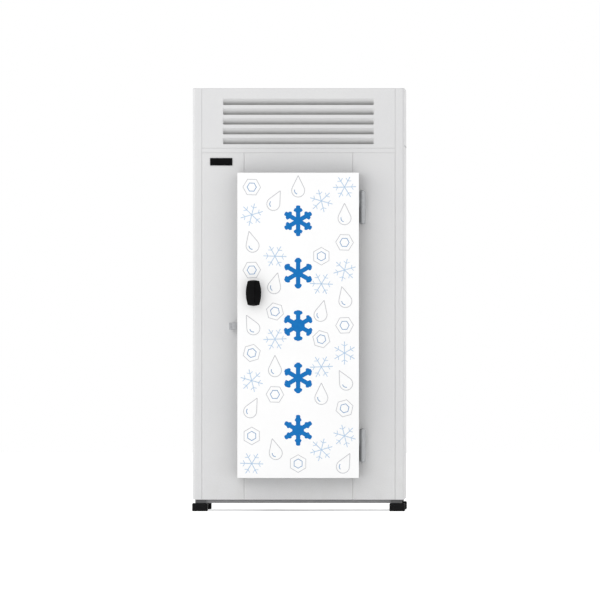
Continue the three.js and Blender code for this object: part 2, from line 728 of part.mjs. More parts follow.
/** The lid of the hood, with a lip that drops inside the panels' flanges. */
function topCover() {
  const plate = upright(
    roundedRectangle([-SIDE_X, SIDE_X], [FRONT_Y, REAR_Y], POST_RADIUS), SHEET, COVER_Z, 6,
  );
  const inset = WALL + GAP;
  const lipX = SIDE_X - inset;
  const lipY = [FRONT_Y + inset, REAR_Y - inset];
  const lip = cut(
    block([-lipX, lipX], lipY, [COVER_Z - COVER_LIP, COVER_Z]),
    block(
      [-lipX + SHEET, lipX - SHEET], [lipY[0] + SHEET, lipY[1] - SHEET],
      [COVER_Z - 2 * COVER_LIP, COVER_Z],
    ),
  );
  return piece('top_cover', join(plate, lip), HOOD_PAINT);
}

function badgePlate() {
  const left = -SIDE_X + POST_FACE + BADGE_EDGE;
  const top = WALL_TOP - BADGE_DROP;
  const shape = roundedRectangle([left, left + BADGE_WIDTH], [top - BADGE_HEIGHT, top], BADGE_THICKNESS);
  const plate = facing(shape, BADGE_THICKNESS, FRONT_Y - GAP - BADGE_THICKNESS, 2);
  return piece('badge_plate', plate, BLACK_PLASTIC);
}

// ---------------------------------------------------------------- fans

/** Where the motor's inner end stands, behind the plate that its guard is screwed to. */
function motorEndY() {
  return MOTOR_INSIDE - GUARD_STANDOFF;
}

/** The wire guard with the motor on its hub. It is screwed to a plate at Y = 0; the rotor is at +Y. */
function guardedMotor(diameter) {
  const outer = diameter / 2 + 2 * GUARD_WIRE;
  const front = -GUARD_STANDOFF;
  const wire = GUARD_WIRE / 2;
  const ring = (radius) => {
    const [inner, outerEdge] = around(radius, GUARD_WIRE);
    return turned([
      [inner, -wire], [outerEdge, -wire], [outerEdge, wire], [inner, wire], [inner, -wire],
    ], FAN_FACETS);
  };
  const parts = [];
  for (let i = 0; i < GUARD_RINGS; i += 1) {
    const share = (i + 1) / GUARD_RINGS;
    parts.push(placed(ring(MOTOR_RADIUS + share * (outer - MOTOR_RADIUS)), [0, front, 0], [90, 0, 0]));
  }
  for (let i = 0; i < GUARD_SPOKES; i += 1) {
    const back = front + 0.5 * wire;
    const reach = [MOTOR_RADIUS - GUARD_WIRE, outer + wire / 2];
    const spoke = block(reach, [back, back + GUARD_WIRE], [-wire, wire]);
    const leg = block([outer - wire / 2, reach[1]], [back, -GAP], [-wire, wire]);
    parts.push(placed(join(spoke, leg), [0, 0, 0], [0, 45 + (360 * i) / GUARD_SPOKES, 0]));
  }
  parts.push(bar('y', MOTOR_RADIUS, [motorEndY() - MOTOR_LENGTH, motorEndY()], [0, 0], FAN_FACETS));
  return join(...parts);
}

/** A five-bladed axial rotor on a short shaft; its hub faces the motor at Y = hubY. */
function rotor(diameter, hubY, depth) {
  const tip = diameter / 2 - FAN_TIP_CLEARANCE;
  const hub = FAN_HUB_SHARE * (diameter / 2);
  const root = hub - FAN_BLADE_ROOT;
  const y = hubY + depth / 2;
  const blade = new THREE.Shape();
  blade.moveTo(root, -0.32 * hub);
  blade.lineTo(0.7 * tip, -0.26 * tip);
  blade.lineTo(0.93 * tip, -0.24 * tip);
  blade.quadraticCurveTo(1.03 * tip, 0, 0.86 * tip, 0.34 * tip);
  blade.lineTo(0.6 * tip, 0.24 * tip);
  blade.lineTo(root, 0.32 * hub);
  const blades = [];
  for (let i = 0; i < FAN_BLADES; i += 1) {
    const flat = facing(blade, FAN_BLADE_THICKNESS, -FAN_BLADE_THICKNESS / 2, 4);
    blades.push(placed(flat, [0, y, 0], [FAN_BLADE_TILT, (360 * i) / FAN_BLADES, 0]));
  }
  return join(bar('y', hub, [hubY, hubY + depth], [0, 0], FAN_FACETS), ...blades);
}

/** Guard, motor and rotor for one orifice, as a group whose +Y side is the rotor's. */
function fanUnit(prefix, diameter, position, turn) {
  const group = new THREE.Group();
  group.add(
    piece(`${prefix}_motor`, guardedMotor(diameter), BLACK_ENAMEL),
    piece(`${prefix}_rotor`, rotor(diameter, motorEndY() + GAP, ROTOR_DEPTH_SHARE * diameter), ALUMINIUM),
  );
  group.position.set(...position);
  group.rotation.z = turn;
  return group;
}

// ---------------------------------------------------------------- heat exchangers

/** A finned block: fins on both faces of a core, with return bends on its right end. */
function finnedCoil(width, depth, height) {
  const shape = new THREE.Shape();
  const fins = Math.floor(width / FIN_PITCH);
  const pitch = (width - FIN_THICKNESS) / fins;
  const half = depth / 2;
  const core = COIL_WEB / 2;
  const left = -width / 2;
  shape.moveTo(left, -half);
  for (let i = 0; i < fins; i += 1) {
    const x = left + i * pitch;
    shape.lineTo(x + FIN_THICKNESS, -half);
    shape.lineTo(x + FIN_THICKNESS, -core);
    shape.lineTo(x + pitch, -core);
    shape.lineTo(x + pitch, -half);
  }
  shape.lineTo(left + width, -half);
  shape.lineTo(left + width, half);
  for (let i = fins - 1; i >= 0; i -= 1) {
    const x = left + i * pitch;
    shape.lineTo(x + pitch, half);
    shape.lineTo(x + pitch, core);
    shape.lineTo(x + FIN_THICKNESS, core);
    shape.lineTo(x + FIN_THICKNESS, half);
  }
  shape.lineTo(left, half);
  let coil = upright(shape, height);
  const first = height / 2 - ((RETURN_BENDS - 1) * RETURN_BEND_PITCH) / 2;
  for (let i = 0; i < RETURN_BENDS; i += 1) {
    coil = coil.add(returnBend(width / 2, first + i * RETURN_BEND_PITCH));
  }
  return coil;
}

/** A hairpin of tube that leaves a coil's end plate and turns back into it. */
function returnBend(x, z) {
  const radius = RETURN_BEND_PITCH / 4;
  const root = x - BEND_ROOT;
  const start = x + BEND_STANDOFF;
  const points = [[root, 0, z - radius], [start, 0, z - radius]];
  for (let i = 1; i < BEND_STEPS; i += 1) {
    const angle = -Math.PI / 2 + (Math.PI * i) / BEND_STEPS;
    points.push([start + radius * Math.cos(angle), 0, z + radius * Math.sin(angle)]);
  }
  points.push([start, 0, z + radius], [root, 0, z + radius]);
  return tube(points, TUBE_RADIUS, BEND_STEPS + 2, PIPE_FACETS);
}

// ---------------------------------------------------------------- condensing unit

const CONDENSER_Y = FRONT_Y + CONDENSER_SETBACK + CONDENSER_DEPTH / 2;
const SHROUD_BACK_Y = CONDENSER_Y + CONDENSER_DEPTH / 2 + SHROUD_DEPTH;
const CONDENSER_MID_Z = DECK_TOP + CONDENSER_HEIGHT / 2;
const COMPRESSOR_Y = FRONT_Y + COMPRESSOR_SETBACK;
const RECEIVER_Y = FRONT_Y + RECEIVER_SETBACK;
const CONTROL_BOX_X = SIDE_X - CONTROL_BOX_EDGE;
const CONTROL_BOX_Y = FRONT_Y + CONTROL_BOX_SETBACK;

/** The cowl behind the condenser, open to it, with a round orifice in its back. */
function condenserShroud() {
  const front = CONDENSER_Y + CONDENSER_DEPTH / 2 + GAP;
  const x = around(CONDENSER_X, CONDENSER_WIDTH);
  const z = [DECK_TOP, DECK_TOP + CONDENSER_HEIGHT];
  const hollow = block(
    [x[0] + SHEET, x[1] - SHEET], [front - SHEET, SHROUD_BACK_Y - SHEET], [z[0] + SHEET, z[1] - SHEET],
  );
  const centre = [CONDENSER_X, CONDENSER_MID_Z];
  const collarY = [SHROUD_BACK_Y - COLLAR_DEPTH, SHROUD_BACK_Y];
  const collar = bar('y', CONDENSER_FAN / 2 + SHEET, collarY, centre);
  const orifice = bar('y', CONDENSER_FAN / 2, [front, SHROUD_BACK_Y + SHEET], centre);
  const cowl = join(cut(block(x, [front, SHROUD_BACK_Y], z), hollow), collar);
  return piece('condenser_shroud', cut(cowl, orifice), GALVANISED);
}

/** The hermetic compressor: a drawn shell on a base plate with four feet, and a terminal cover. */
function compressor() {
  const r = COMPRESSOR_RADIUS;
  const shellBottom = COMPRESSOR_FOOT + COMPRESSOR_PLATE;
  const shellHeight = COMPRESSOR_HEIGHT - shellBottom;
  const shell = turned([
    [0, shellBottom - 1], [0.7 * r, shellBottom - 1], [0.95 * r, shellBottom + 0.08 * shellHeight],
    [r, shellBottom + 0.2 * shellHeight], [r, shellBottom + 0.48 * shellHeight],
    [1.04 * r, shellBottom + 0.5 * shellHeight], [1.04 * r, shellBottom + 0.54 * shellHeight],
    [r, shellBottom + 0.56 * shellHeight], [0.96 * r, shellBottom + 0.78 * shellHeight],
    [0.78 * r, shellBottom + 0.93 * shellHeight], [0.4 * r, shellBottom + shellHeight],
    [0, shellBottom + shellHeight],
  ], 20);
  const reach = 1.05 * r;
  const plan = roundedRectangle([-reach, reach], [-reach, reach], 0.3 * r);
  const base = upright(plan, COMPRESSOR_PLATE, COMPRESSOR_FOOT, 3);
  const feetBars = [];
  for (const x of [-1, 1]) {
    for (const y of [-1, 1]) {
      const centre = [0.8 * x * r, 0.8 * y * r];
      feetBars.push(bar('z', FOOT_BUSH_RADIUS, [0, COMPRESSOR_FOOT + 1], centre, 8));
    }
  }
  const terminalZ = [0.35 * COMPRESSOR_HEIGHT, 0.7 * COMPRESSOR_HEIGHT];
  const terminal = block([0.9 * r, 1.25 * r], [-0.35 * r, 0.35 * r], terminalZ);
  const stubs = [-1, 1].map((side) => bar(
    'z', PIPE_RADIUS + 2, [0.8 * COMPRESSOR_HEIGHT, COMPRESSOR_HEIGHT], [side * STUB_X, side * STUB_Y], 10,
  ));
  return join(shell, base, terminal, ...feetBars, ...stubs);
}

/** The upright liquid receiver, domed at both ends, on a ring foot. */
function receiver() {
  const r = RECEIVER_RADIUS;
  const h = RECEIVER_HEIGHT;
  return turned([
    [0, 0.04 * h], [0.6 * r, 0.04 * h], [0.6 * r, 0], [0.75 * r, 0], [0.75 * r, 0.06 * h],
    [r, 0.16 * h], [r, 0.84 * h], [0.75 * r, 0.95 * h], [0.3 * r, h], [0, h],
  ], 16);
}

function controlBox() {
  const { width, depth, height } = CONTROL_BOX;
  const x = around(0, width);
  const body = block(x, [0, depth], [0, height]);
  const lidZ = [0.1 * height, height + SHEET];
  const lid = block(grow(x, SHEET), [-2 * SHEET, 0.12 * depth], lidZ);
  const glandCentre = [0.25 * width, 0.3 * height];
  const gland = bar('y', GLAND_RADIUS, [depth - 1, depth + GLAND_LENGTH], glandCentre, 12);
  return join(body, lid, gland);
}

function refrigerantPipes() {
  const top = DECK_TOP + COMPRESSOR_HEIGHT;
  const condenserRight = CONDENSER_X + CONDENSER_WIDTH / 2 + RETURN_BEND_PITCH / 4 + 2 * TUBE_RADIUS;
  const clear = PIPE_RADIUS + 2;
  const dischargeStart = [COMPRESSOR_X - STUB_X, COMPRESSOR_Y - STUB_Y];
  const highZ = DECK_TOP + CONDENSER_HEIGHT;
  const endZ = CONDENSER_MID_Z + 1.5 * RETURN_BEND_PITCH;
  const discharge = tube([
    [dischargeStart[0], dischargeStart[1], top + GAP],
    [dischargeStart[0], dischargeStart[1], top + 3 * clear],
    [dischargeStart[0] - 2 * clear, dischargeStart[1] - clear, highZ],
    [condenserRight + 5 * clear, CONDENSER_Y + 5 * clear, highZ],
    [condenserRight + 2 * clear, CONDENSER_Y, highZ - 2 * clear],
    [condenserRight + 2 * clear, CONDENSER_Y, endZ + 2 * clear],
    [condenserRight + clear, CONDENSER_Y, endZ],
    [CONDENSER_X + CONDENSER_WIDTH / 2 + 2 * GAP, CONDENSER_Y, endZ],
  ], PIPE_RADIUS, 22, PIPE_FACETS);
  const receiverTop = DECK_TOP + RECEIVER_HEIGHT;
  const drier = RECEIVER_HEIGHT / 2;
  const liquidX = PORT_X - PORT_RADIUS / 2;
  const liquid = tube([
    [RECEIVER_X, RECEIVER_Y, receiverTop + 2 * GAP],
    [RECEIVER_X, RECEIVER_Y, receiverTop + 2 * clear],
    [RECEIVER_X + 3 * clear, RECEIVER_Y + clear, receiverTop + 4 * clear],
    [RECEIVER_X + 3 * clear + drier, PORT_Y, receiverTop + 4 * clear],
    [liquidX - 3 * clear, PORT_Y, receiverTop + 4 * clear],
    [liquidX, PORT_Y, receiverTop + clear],
    [liquidX, PORT_Y, DECK_TOP],
    [liquidX, PORT_Y, EVAPORATOR_TOP - 2 * PORT_RADIUS],
    [liquidX - 3 * clear, PORT_Y, EVAPORATOR_TOP - 2 * PORT_RADIUS - 3 * clear],
    [EVAPORATOR_WIDTH / 2 + 2 * GAP, PORT_Y, EVAPORATOR_TOP - 2 * PORT_RADIUS - 3 * clear],
  ], PIPE_RADIUS, 28, PIPE_FACETS);
  const suctionX = PORT_X + PORT_RADIUS / 2;
  const suctionStart = [COMPRESSOR_X + STUB_X, COMPRESSOR_Y + STUB_Y];
  const suction = tube([
    [suctionStart[0], suctionStart[1], top + GAP],
    [suctionStart[0], suctionStart[1], top + 3 * clear],
    [suctionStart[0] + 3 * clear, suctionStart[1] + 2 * clear, top + 5 * clear],
    [suctionX - 3 * clear, PORT_Y - 2 * clear, top + 5 * clear],
    [suctionX, PORT_Y, top + clear],
    [suctionX, PORT_Y, DECK_TOP],
    [suctionX, PORT_Y, EVAPORATOR_TOP - 3 * PORT_RADIUS],
    [suctionX - 3 * clear, PORT_Y, EVAPORATOR_TOP - 3 * PORT_RADIUS - 3 * clear],
    [EVAPORATOR_WIDTH / 2 + 2 * GAP, PORT_Y, EVAPORATOR_TOP - 3 * PORT_RADIUS - 3 * clear],
  ], PIPE_RADIUS, 26, PIPE_FACETS);
  return [
    piece('discharge_pipe', discharge, COPPER),
    piece('liquid_pipe', liquid, COPPER),
    piece('suction_pipe', suction, COPPER),
  ];
}

function condensingUnit() {
  const coil = finnedCoil(CONDENSER_WIDTH, CONDENSER_DEPTH, CONDENSER_HEIGHT);
  return [
    piece('condenser_coil', coil, ALUMINIUM, [CONDENSER_X, CONDENSER_Y, DECK_TOP]),
    condenserShroud(),
    fanUnit('condenser_fan', CONDENSER_FAN, [CONDENSER_X, SHROUD_BACK_Y, CONDENSER_MID_Z], Math.PI),
    piece('compressor', compressor(), BLACK_ENAMEL, [COMPRESSOR_X, COMPRESSOR_Y, DECK_TOP]),
    piece('liquid_receiver', receiver(), BLACK_ENAMEL, [RECEIVER_X, RECEIVER_Y, DECK_TOP]),
    piece('control_box', controlBox(), GALVANISED, [CONTROL_BOX_X, CONTROL_BOX_Y, DECK_TOP]),
    ...refrigerantPipes(),
  ];
}

// ---------------------------------------------------------------- evaporator, light and floor rack

/** The sheet case round the coil, open behind and below, with a collared orifice for each fan. */
function evaporatorCase() {
  const x = around(0, EVAPORATOR_WIDTH);
  const y = [EVAPORATOR_FRONT_Y, EVAPORATOR_REAR_Y];
  const z = [EVAPORATOR_BOTTOM, EVAPORATOR_TOP];
  const hollow = block(
    [x[0] + SHEET, x[1] - SHEET], [y[0] + SHEET, y[1] + SHEET], [z[0] - SHEET, z[1] - SHEET],
  );
  let body = cut(block(x, y, z), hollow);
  for (const fanX of evaporatorFanX()) {
    const centre = [fanX, middle(z)];
    const collarY = [y[0], y[0] + COLLAR_DEPTH];
    const collar = bar('y', EVAPORATOR_FAN / 2 + SHEET, collarY, centre, 20);
    const orifice = bar('y', EVAPORATOR_FAN / 2, grow(collarY, SHEET), centre, 20);
    body = cut(join(body, collar), orifice);
  }
  return piece('evaporator_case', body, WHITE_PAINT);
}

function evaporatorFanX() {
  return [-EVAPORATOR_FAN_SPREAD / 2, EVAPORATOR_FAN_SPREAD / 2];
}

/** The drip pan under the coil, its floor falling to the drain at the back. */
function dripTray() {
  const top = EVAPORATOR_BOTTOM - GAP;
  const section = (inset, rise) => outline([
    [EVAPORATOR_FRONT_Y + inset, top + rise],
    [EVAPORATOR_FRONT_Y + inset, top - TRAY_DEPTH / 2 + inset],
    [EVAPORATOR_REAR_Y - inset, top - TRAY_DEPTH + inset],
    [EVAPORATOR_REAR_Y - inset, top + rise],
  ]);
  const left = -EVAPORATOR_WIDTH / 2;
  const pan = sideways(section(0, 0), EVAPORATOR_WIDTH, left);
  const hollow = sideways(section(SHEET, SHEET), EVAPORATOR_WIDTH - 2 * SHEET, left + SHEET);
  return piece('drip_tray', cut(pan, hollow), STAINLESS);
}

/** The drain: down from the tray, then back through the rear wall, open at its outlet. */
function drainPipe() {
  const startY = EVAPORATOR_REAR_Y - 3 * DRAIN_RADIUS;
  const fall = (TRAY_DEPTH / 2) * (3 * DRAIN_RADIUS) / EVAPORATOR_DEPTH;
  const startZ = EVAPORATOR_BOTTOM - GAP - TRAY_DEPTH + fall - 2 * GAP;
  const bend = 1.6 * DRAIN_RADIUS;
  const points = [
    [DRAIN_X, startY, startZ - GAP],
    [DRAIN_X, startY, DRAIN_Z + bend],
    [DRAIN_X, startY + 0.3 * bend, DRAIN_Z + 0.3 * bend],
    [DRAIN_X, startY + bend, DRAIN_Z],
    [DRAIN_X, startY + 2 * bend, DRAIN_Z],
    [DRAIN_X, INNER_REAR_Y - DRAIN_RADIUS, DRAIN_Z],
    [DRAIN_X, REAR_Y - GAP, DRAIN_Z],
  ];
  const bore = bar('y', 0.75 * DRAIN_RADIUS, [REAR_Y - WALL, REAR_Y + WALL], [DRAIN_X, DRAIN_Z], 12);
  return piece('drain_pipe', cut(tube(points, DRAIN_RADIUS, 14, 10), bore), LINER_PLASTIC);
}

/** A bulkhead lamp over the door: a base plate with a raised lens. */
function interiorLight() {
  const z = (OPENING_TOP + CEILING_Z) / 2;
  const base = 0.25 * LIGHT_DEPTH;
  const soft = 0.3 * LIGHT_HEIGHT;
  const back = roundedRectangle(around(0, LIGHT_WIDTH), around(z, LIGHT_HEIGHT), soft);
  const lens = roundedRectangle(
    around(0, 0.84 * LIGHT_WIDTH), around(z, 0.66 * LIGHT_HEIGHT), 0.9 * soft,
  );
  const crown = roundedRectangle(
    around(0, 0.72 * LIGHT_WIDTH), around(z, 0.48 * LIGHT_HEIGHT), 0.7 * soft,
  );
  const y = INNER_FRONT_Y + GAP;
  return piece('interior_light', join(
    facing(back, base, y, 3),
    facing(lens, 0.85 * LIGHT_DEPTH, y, 3),
    facing(crown, LIGHT_DEPTH, y, 3),
  ), LENS);
}

/** The slatted rack that keeps the bags off the floor. */
function floorRack() {
  const bottom = FLOOR_Z + GAP;
  const x = [-INNER_X + RACK_MARGIN, INNER_X - RACK_MARGIN];
  const y = [INNER_FRONT_Y + RACK_MARGIN, INNER_REAR_Y - RACK_MARGIN];
  const slatZ = [bottom + RACK_HEIGHT - RACK_SLAT_THICKNESS, bottom + RACK_HEIGHT];
  const parts = [];
  const pitch = (y[1] - y[0] - RACK_SLAT) / (RACK_SLATS - 1);
  for (let i = 0; i < RACK_SLATS; i += 1) {
    const start = y[0] + i * pitch;
    parts.push(block(x, [start, start + RACK_SLAT], slatZ));
  }
  for (const centre of [0.8 * x[0], 0, 0.8 * x[1]]) {
    parts.push(block(around(centre, RACK_SLAT / 1.5), y, [bottom, slatZ[0] + 1]));
  }
  return piece('floor_rack', join(...parts), GALVANISED);
}

function evaporator() {
  const coilWidth = EVAPORATOR_WIDTH - 4 * COIL_MARGIN;
  const coilHeight = EVAPORATOR_HEIGHT - SHEET - COIL_MARGIN;
  const coilY = EVAPORATOR_REAR_Y - COIL_MARGIN - EVAPORATOR_COIL_DEPTH / 2;
  const coilZ = EVAPORATOR_TOP - SHEET - GAP - coilHeight;
  const fanZ = (EVAPORATOR_BOTTOM + EVAPORATOR_TOP) / 2;
  const [leftX, rightX] = evaporatorFanX();
  const coil = finnedCoil(coilWidth, EVAPORATOR_COIL_DEPTH, coilHeight);
  return [
    evaporatorCase(),
    piece('evaporator_coil', coil, ALUMINIUM, [0, coilY, coilZ]),
    fanUnit('evaporator_fan_left', EVAPORATOR_FAN, [leftX, EVAPORATOR_FRONT_Y, fanZ], 0),
    fanUnit('evaporator_fan_right', EVAPORATOR_FAN, [rightX, EVAPORATOR_FRONT_Y, fanZ], 0),
    dripTray(),
    drainPipe(),
  ];
}

// ---------------------------------------------------------------- door leaf

/** The raised plug on the inside of the leaf, with drafted sides, drawn in by an inset. */
function plug(inset) {
  const half = OPENING_WIDTH / 2 - PLUG_CLEARANCE - inset;
  const z = [OPENING_BOTTOM + PLUG_CLEARANCE + inset, OPENING_TOP - PLUG_CLEARANCE - inset];
  const y = [LEAF_BACK_Y - 2 * LINER_SHEET, FRONT_Y + PLUG_DEPTH - inset];
  const draft = PLUG_DEPTH;
  const start = LEAF_BACK_Y + 0.4 * GASKET_DEPTH;
  const fromTop = outline([
    [-half, y[0]], [half, y[0]], [half, start], [half - draft, y[1]], [-half + draft, y[1]], [-half, start],
  ]);
  const fromSide = outline([
    [y[0], z[0]], [start, z[0]], [y[1], z[0] + draft], [y[1], z[1] - draft], [start, z[1]], [y[0], z[1]],
  ]);
  return upright(fromTop, z[1] - z[0], z[0]).intersect(sideways(fromSide, 2 * half, -half));
}

/** The space for each hinge plate in the leaf's edge, grown by a margin. */
function hingeMortises(margin) {
  return HINGE_HEIGHTS.map((z) => block(
    [LEAF_X - HINGE_PLATE - GAP - margin, LEAF_X + WALL],
    around(HINGE_Y, HINGE_PLATE_REACH + 2 * (GAP + margin)),
    [z - margin, z + HINGE_LENGTH / 2 + margin],
  ));
}

/** The inside of the door skin, drawn in by an inset. */
function leafCavity(inset) {
  const x = around(0, LEAF_WIDTH - 2 * (SHEET + inset));
  const z = [LEAF_BOTTOM + SHEET + inset, LEAF_TOP - SHEET - inset];
  return cut(block(x, [LEAF_FRONT_Y + SHEET + inset, LEAF_BACK_Y], z), ...hingeMortises(SHEET + inset));
}

function doorSkin() {
  const outer = cut(
    block(around(0, LEAF_WIDTH), [LEAF_FRONT_Y, LEAF_BACK_Y], [LEAF_BOTTOM, LEAF_TOP]),
    ...hingeMortises(0),
  );
  const holeY = [LEAF_FRONT_Y - WALL, LEAF_FRONT_Y + WALL / 2];
  const spindleHole = bar('y', spindleBore(), holeY, [HANDLE_X, HANDLE_Z], SPINDLE_FACETS);
  const mouth = noseMouth([-LEAF_X - WALL, -LEAF_X + 2 * SHEET]);
  return piece('door_skin', cut(outer, leafCavity(0), openBack(), spindleHole, mouth), DOOR_FILM);
}

/** The clear way that the bolt's nose slides through, between two values in X. */
function noseMouth(x) {
  return block(x, grow(BOLT_Y, RUNNING), around(BOLT_Z, NOSE_HEIGHT + 2 * RUNNING));
}

/** Opens the back of the skin where the cavity meets it. */
function openBack() {
  const inner = LEAF_WIDTH - 2 * SHEET;
  return cut(
    block(around(0, inner), [LEAF_BACK_Y - 1, LEAF_BACK_Y + WALL], [LEAF_BOTTOM + SHEET, LEAF_TOP - SHEET]),
    ...hingeMortises(SHEET),
  );
}

/** The clear radius of the hole that the square spindle turns in. */
function spindleBore() {
  return SPINDLE_WIDTH / Math.SQRT2 + RUNNING;
}

/** The liner: a sheet over the back of the leaf, with the plug formed in it. */
function doorLiner() {
  const edge = SHEET + GAP;
  const sheet = block(
    around(0, LEAF_WIDTH - 2 * edge), [LEAF_BACK_Y - LINER_SHEET, LEAF_BACK_Y],
    [LEAF_BOTTOM + edge, LEAF_TOP - edge],
  );
  const body = cut(join(sheet, plug(0)), plug(LINER_SHEET), behindLiner());
  return piece('door_liner', cut(body, ...hingeMortises(SHEET + GAP)), LINER_PLASTIC);
}

/** Everything in front of the liner's own thickness, which the foam fills. */
function behindLiner() {
  return block(
    around(0, LEAF_WIDTH), [LEAF_FRONT_Y, LEAF_BACK_Y - LINER_SHEET], [LEAF_BOTTOM, LEAF_TOP],
  );
}

/** The foam core, with the lock's channels cut in it. */
function doorFoam() {
  const slab = cut(
    leafCavity(GAP),
    block(around(0, 2 * LEAF_WIDTH), [LEAF_BACK_Y - LINER_SHEET - GAP, LEAF_BACK_Y + WALL], [0, HEIGHT]),
  );
  const core = join(slab, plug(LINER_SHEET + GAP));
  const yokeTop = HANDLE_Z + BOLT_TRAVEL / 2 + ROD_WIDTH;
  const free = 2 * RUNNING;
  const axis = [HANDLE_X, HANDLE_Z];
  const spindleHole = bar('y', spindleBore(), [LEAF_FRONT_Y, CAM_Y[1]], axis, SPINDLE_FACETS);
  const camHollow = bar('y', CAM_RADIUS + free, grow(CAM_Y, RUNNING), axis);
  const rodHollow = block(
    around(ROD_X, 2 * ROD_WIDTH + 2 * free), grow(ROD_Y, RUNNING), [BOLT_Z, yokeTop + free],
  );
  const caseHollow = block(grow(LOCK_CASE_X, GAP), grow(LOCK_CASE_Y, GAP), grow(LOCK_CASE_Z, GAP));
  return piece('door_foam', cut(core, spindleHole, camHollow, rodHollow, caseHollow), FOAM);
}

/** The gasket: one closed ring with a bellows groove along its outer side. */
function doorGasket() {
  const y = [LEAF_BACK_Y + GAP, FRONT_Y - GAP];
  const ring = (inset, [low, high]) => block(
    around(0, LEAF_WIDTH - 2 * inset), [low, high], [LEAF_BOTTOM + inset, LEAF_TOP - inset],
  );
  const outside = ring(0, around(middle(y), 0.3 * GASKET_DEPTH));
  const groove = cut(outside, ring(GASKET_INSET + GASKET_GROOVE, around(middle(y), GASKET_DEPTH)));
  const body = cut(ring(GASKET_INSET, y), ring(GASKET_INSET + GASKET_WIDTH, grow(y, WALL)), groove);
  return piece('door_gasket', body, GASKET);
}

// ---------------------------------------------------------------- hinges

/** The half of a hinge on the frame: lower knuckle, pin, web and foot plate, about the hinge's middle. */
function frameKnuckle() {
  const r = BARREL_RADIUS;
  const half = HINGE_LENGTH / 2;
  const pinTop = half - 1.2 * r;
  const barrel = turned([
    [0, -half], [0.45 * r, -half], [0.82 * r, -half + 0.2 * r], [r, -half + 0.6 * r], [r, -GAP],
    [PIN_RADIUS, -GAP], [PIN_RADIUS, pinTop - 2], [PIN_RADIUS - 2, pinTop], [0, pinTop],
  ], HINGE_FACETS);
  const webZ = [-half + 0.6 * r, -r / 2];
  const web = block(around(0, HINGE_WEB), [0, HINGE_PROUD - GAP], webZ);
  const footShape = roundedRectangle(around(0, 2 * r), [-half + 2, -GAP - 2], 0.3 * r);
  const plate = facing(footShape, HINGE_PLATE, HINGE_PROUD - GAP - HINGE_PLATE, 3);
  return join(barrel, web, plate);
}

/** The half of a hinge let into the leaf: upper knuckle, web and plate, about the hinge's middle. */
function leafKnuckle() {
  const r = BARREL_RADIUS;
  const half = HINGE_LENGTH / 2;
  const bore = PIN_RADIUS + PIN_CLEARANCE;
  const boreTop = half - 1.2 * r + PIN_CLEARANCE;
  const barrel = turned([
    [bore, 0], [r, 0], [r, half - 0.6 * r], [0.82 * r, half - 0.2 * r], [0.45 * r, half], [0, half],
    [0, boreTop], [bore, boreTop], [bore, 0],
  ], HINGE_FACETS);
  const plateX = LEAF_X - HINGE_X - HINGE_PLATE;
  const z = [GAP, half - GAP];
  const plate = block([plateX, plateX + HINGE_PLATE], around(0, HINGE_PLATE_REACH), z);
  const web = block([plateX + 1, -bore - 1], around(0, HINGE_WEB), [r / 2, half - r]);
  return join(barrel, plate, web);
}

function hinges() {
  const names = ['lower', 'upper'];
  const frameHalf = frameKnuckle();
  const leafHalf = leafKnuckle();
  return HINGE_HEIGHTS.flatMap((z, i) => [
    piece(`hinge_${names[i]}_frame`, frameHalf, ZINC, [HINGE_X, HINGE_Y, z]),
    piece(`hinge_${names[i]}_leaf`, leafHalf, ZINC, [HINGE_X, HINGE_Y, z]),
  ]);
}

// ---------------------------------------------------------------- handle and lock

/** The grip's outline from the front: a barrel with bulging sides and flatter ends. */
function gripOutline() {
  const x = GRIP_WIDTH / 2;
  const z = GRIP_HEIGHT / 2;
  const cornerX = x - GRIP_SIDE_BULGE;
  const cornerZ = z - GRIP_END_BULGE;
  const shape = new THREE.Shape();
  shape.moveTo(-cornerX + GRIP_CORNER / 2, -cornerZ);
  shape.quadraticCurveTo(0, -z - GRIP_END_BULGE, cornerX - GRIP_CORNER / 2, -cornerZ);
  shape.quadraticCurveTo(cornerX, -cornerZ, cornerX + 1, -cornerZ + GRIP_CORNER);
  shape.quadraticCurveTo(x + GRIP_SIDE_BULGE, 0, cornerX + 1, cornerZ - GRIP_CORNER);
  shape.quadraticCurveTo(cornerX, cornerZ, cornerX - GRIP_CORNER / 2, cornerZ);
  shape.quadraticCurveTo(0, z + GRIP_END_BULGE, -cornerX + GRIP_CORNER / 2, cornerZ);
  shape.quadraticCurveTo(-cornerX, cornerZ, -cornerX - 1, cornerZ - GRIP_CORNER);
  shape.quadraticCurveTo(-x - GRIP_SIDE_BULGE, 0, -cornerX - 1, -cornerZ + GRIP_CORNER);
  shape.quadraticCurveTo(-cornerX, -cornerZ, -cornerX + GRIP_CORNER / 2, -cornerZ);
  return shape;
}

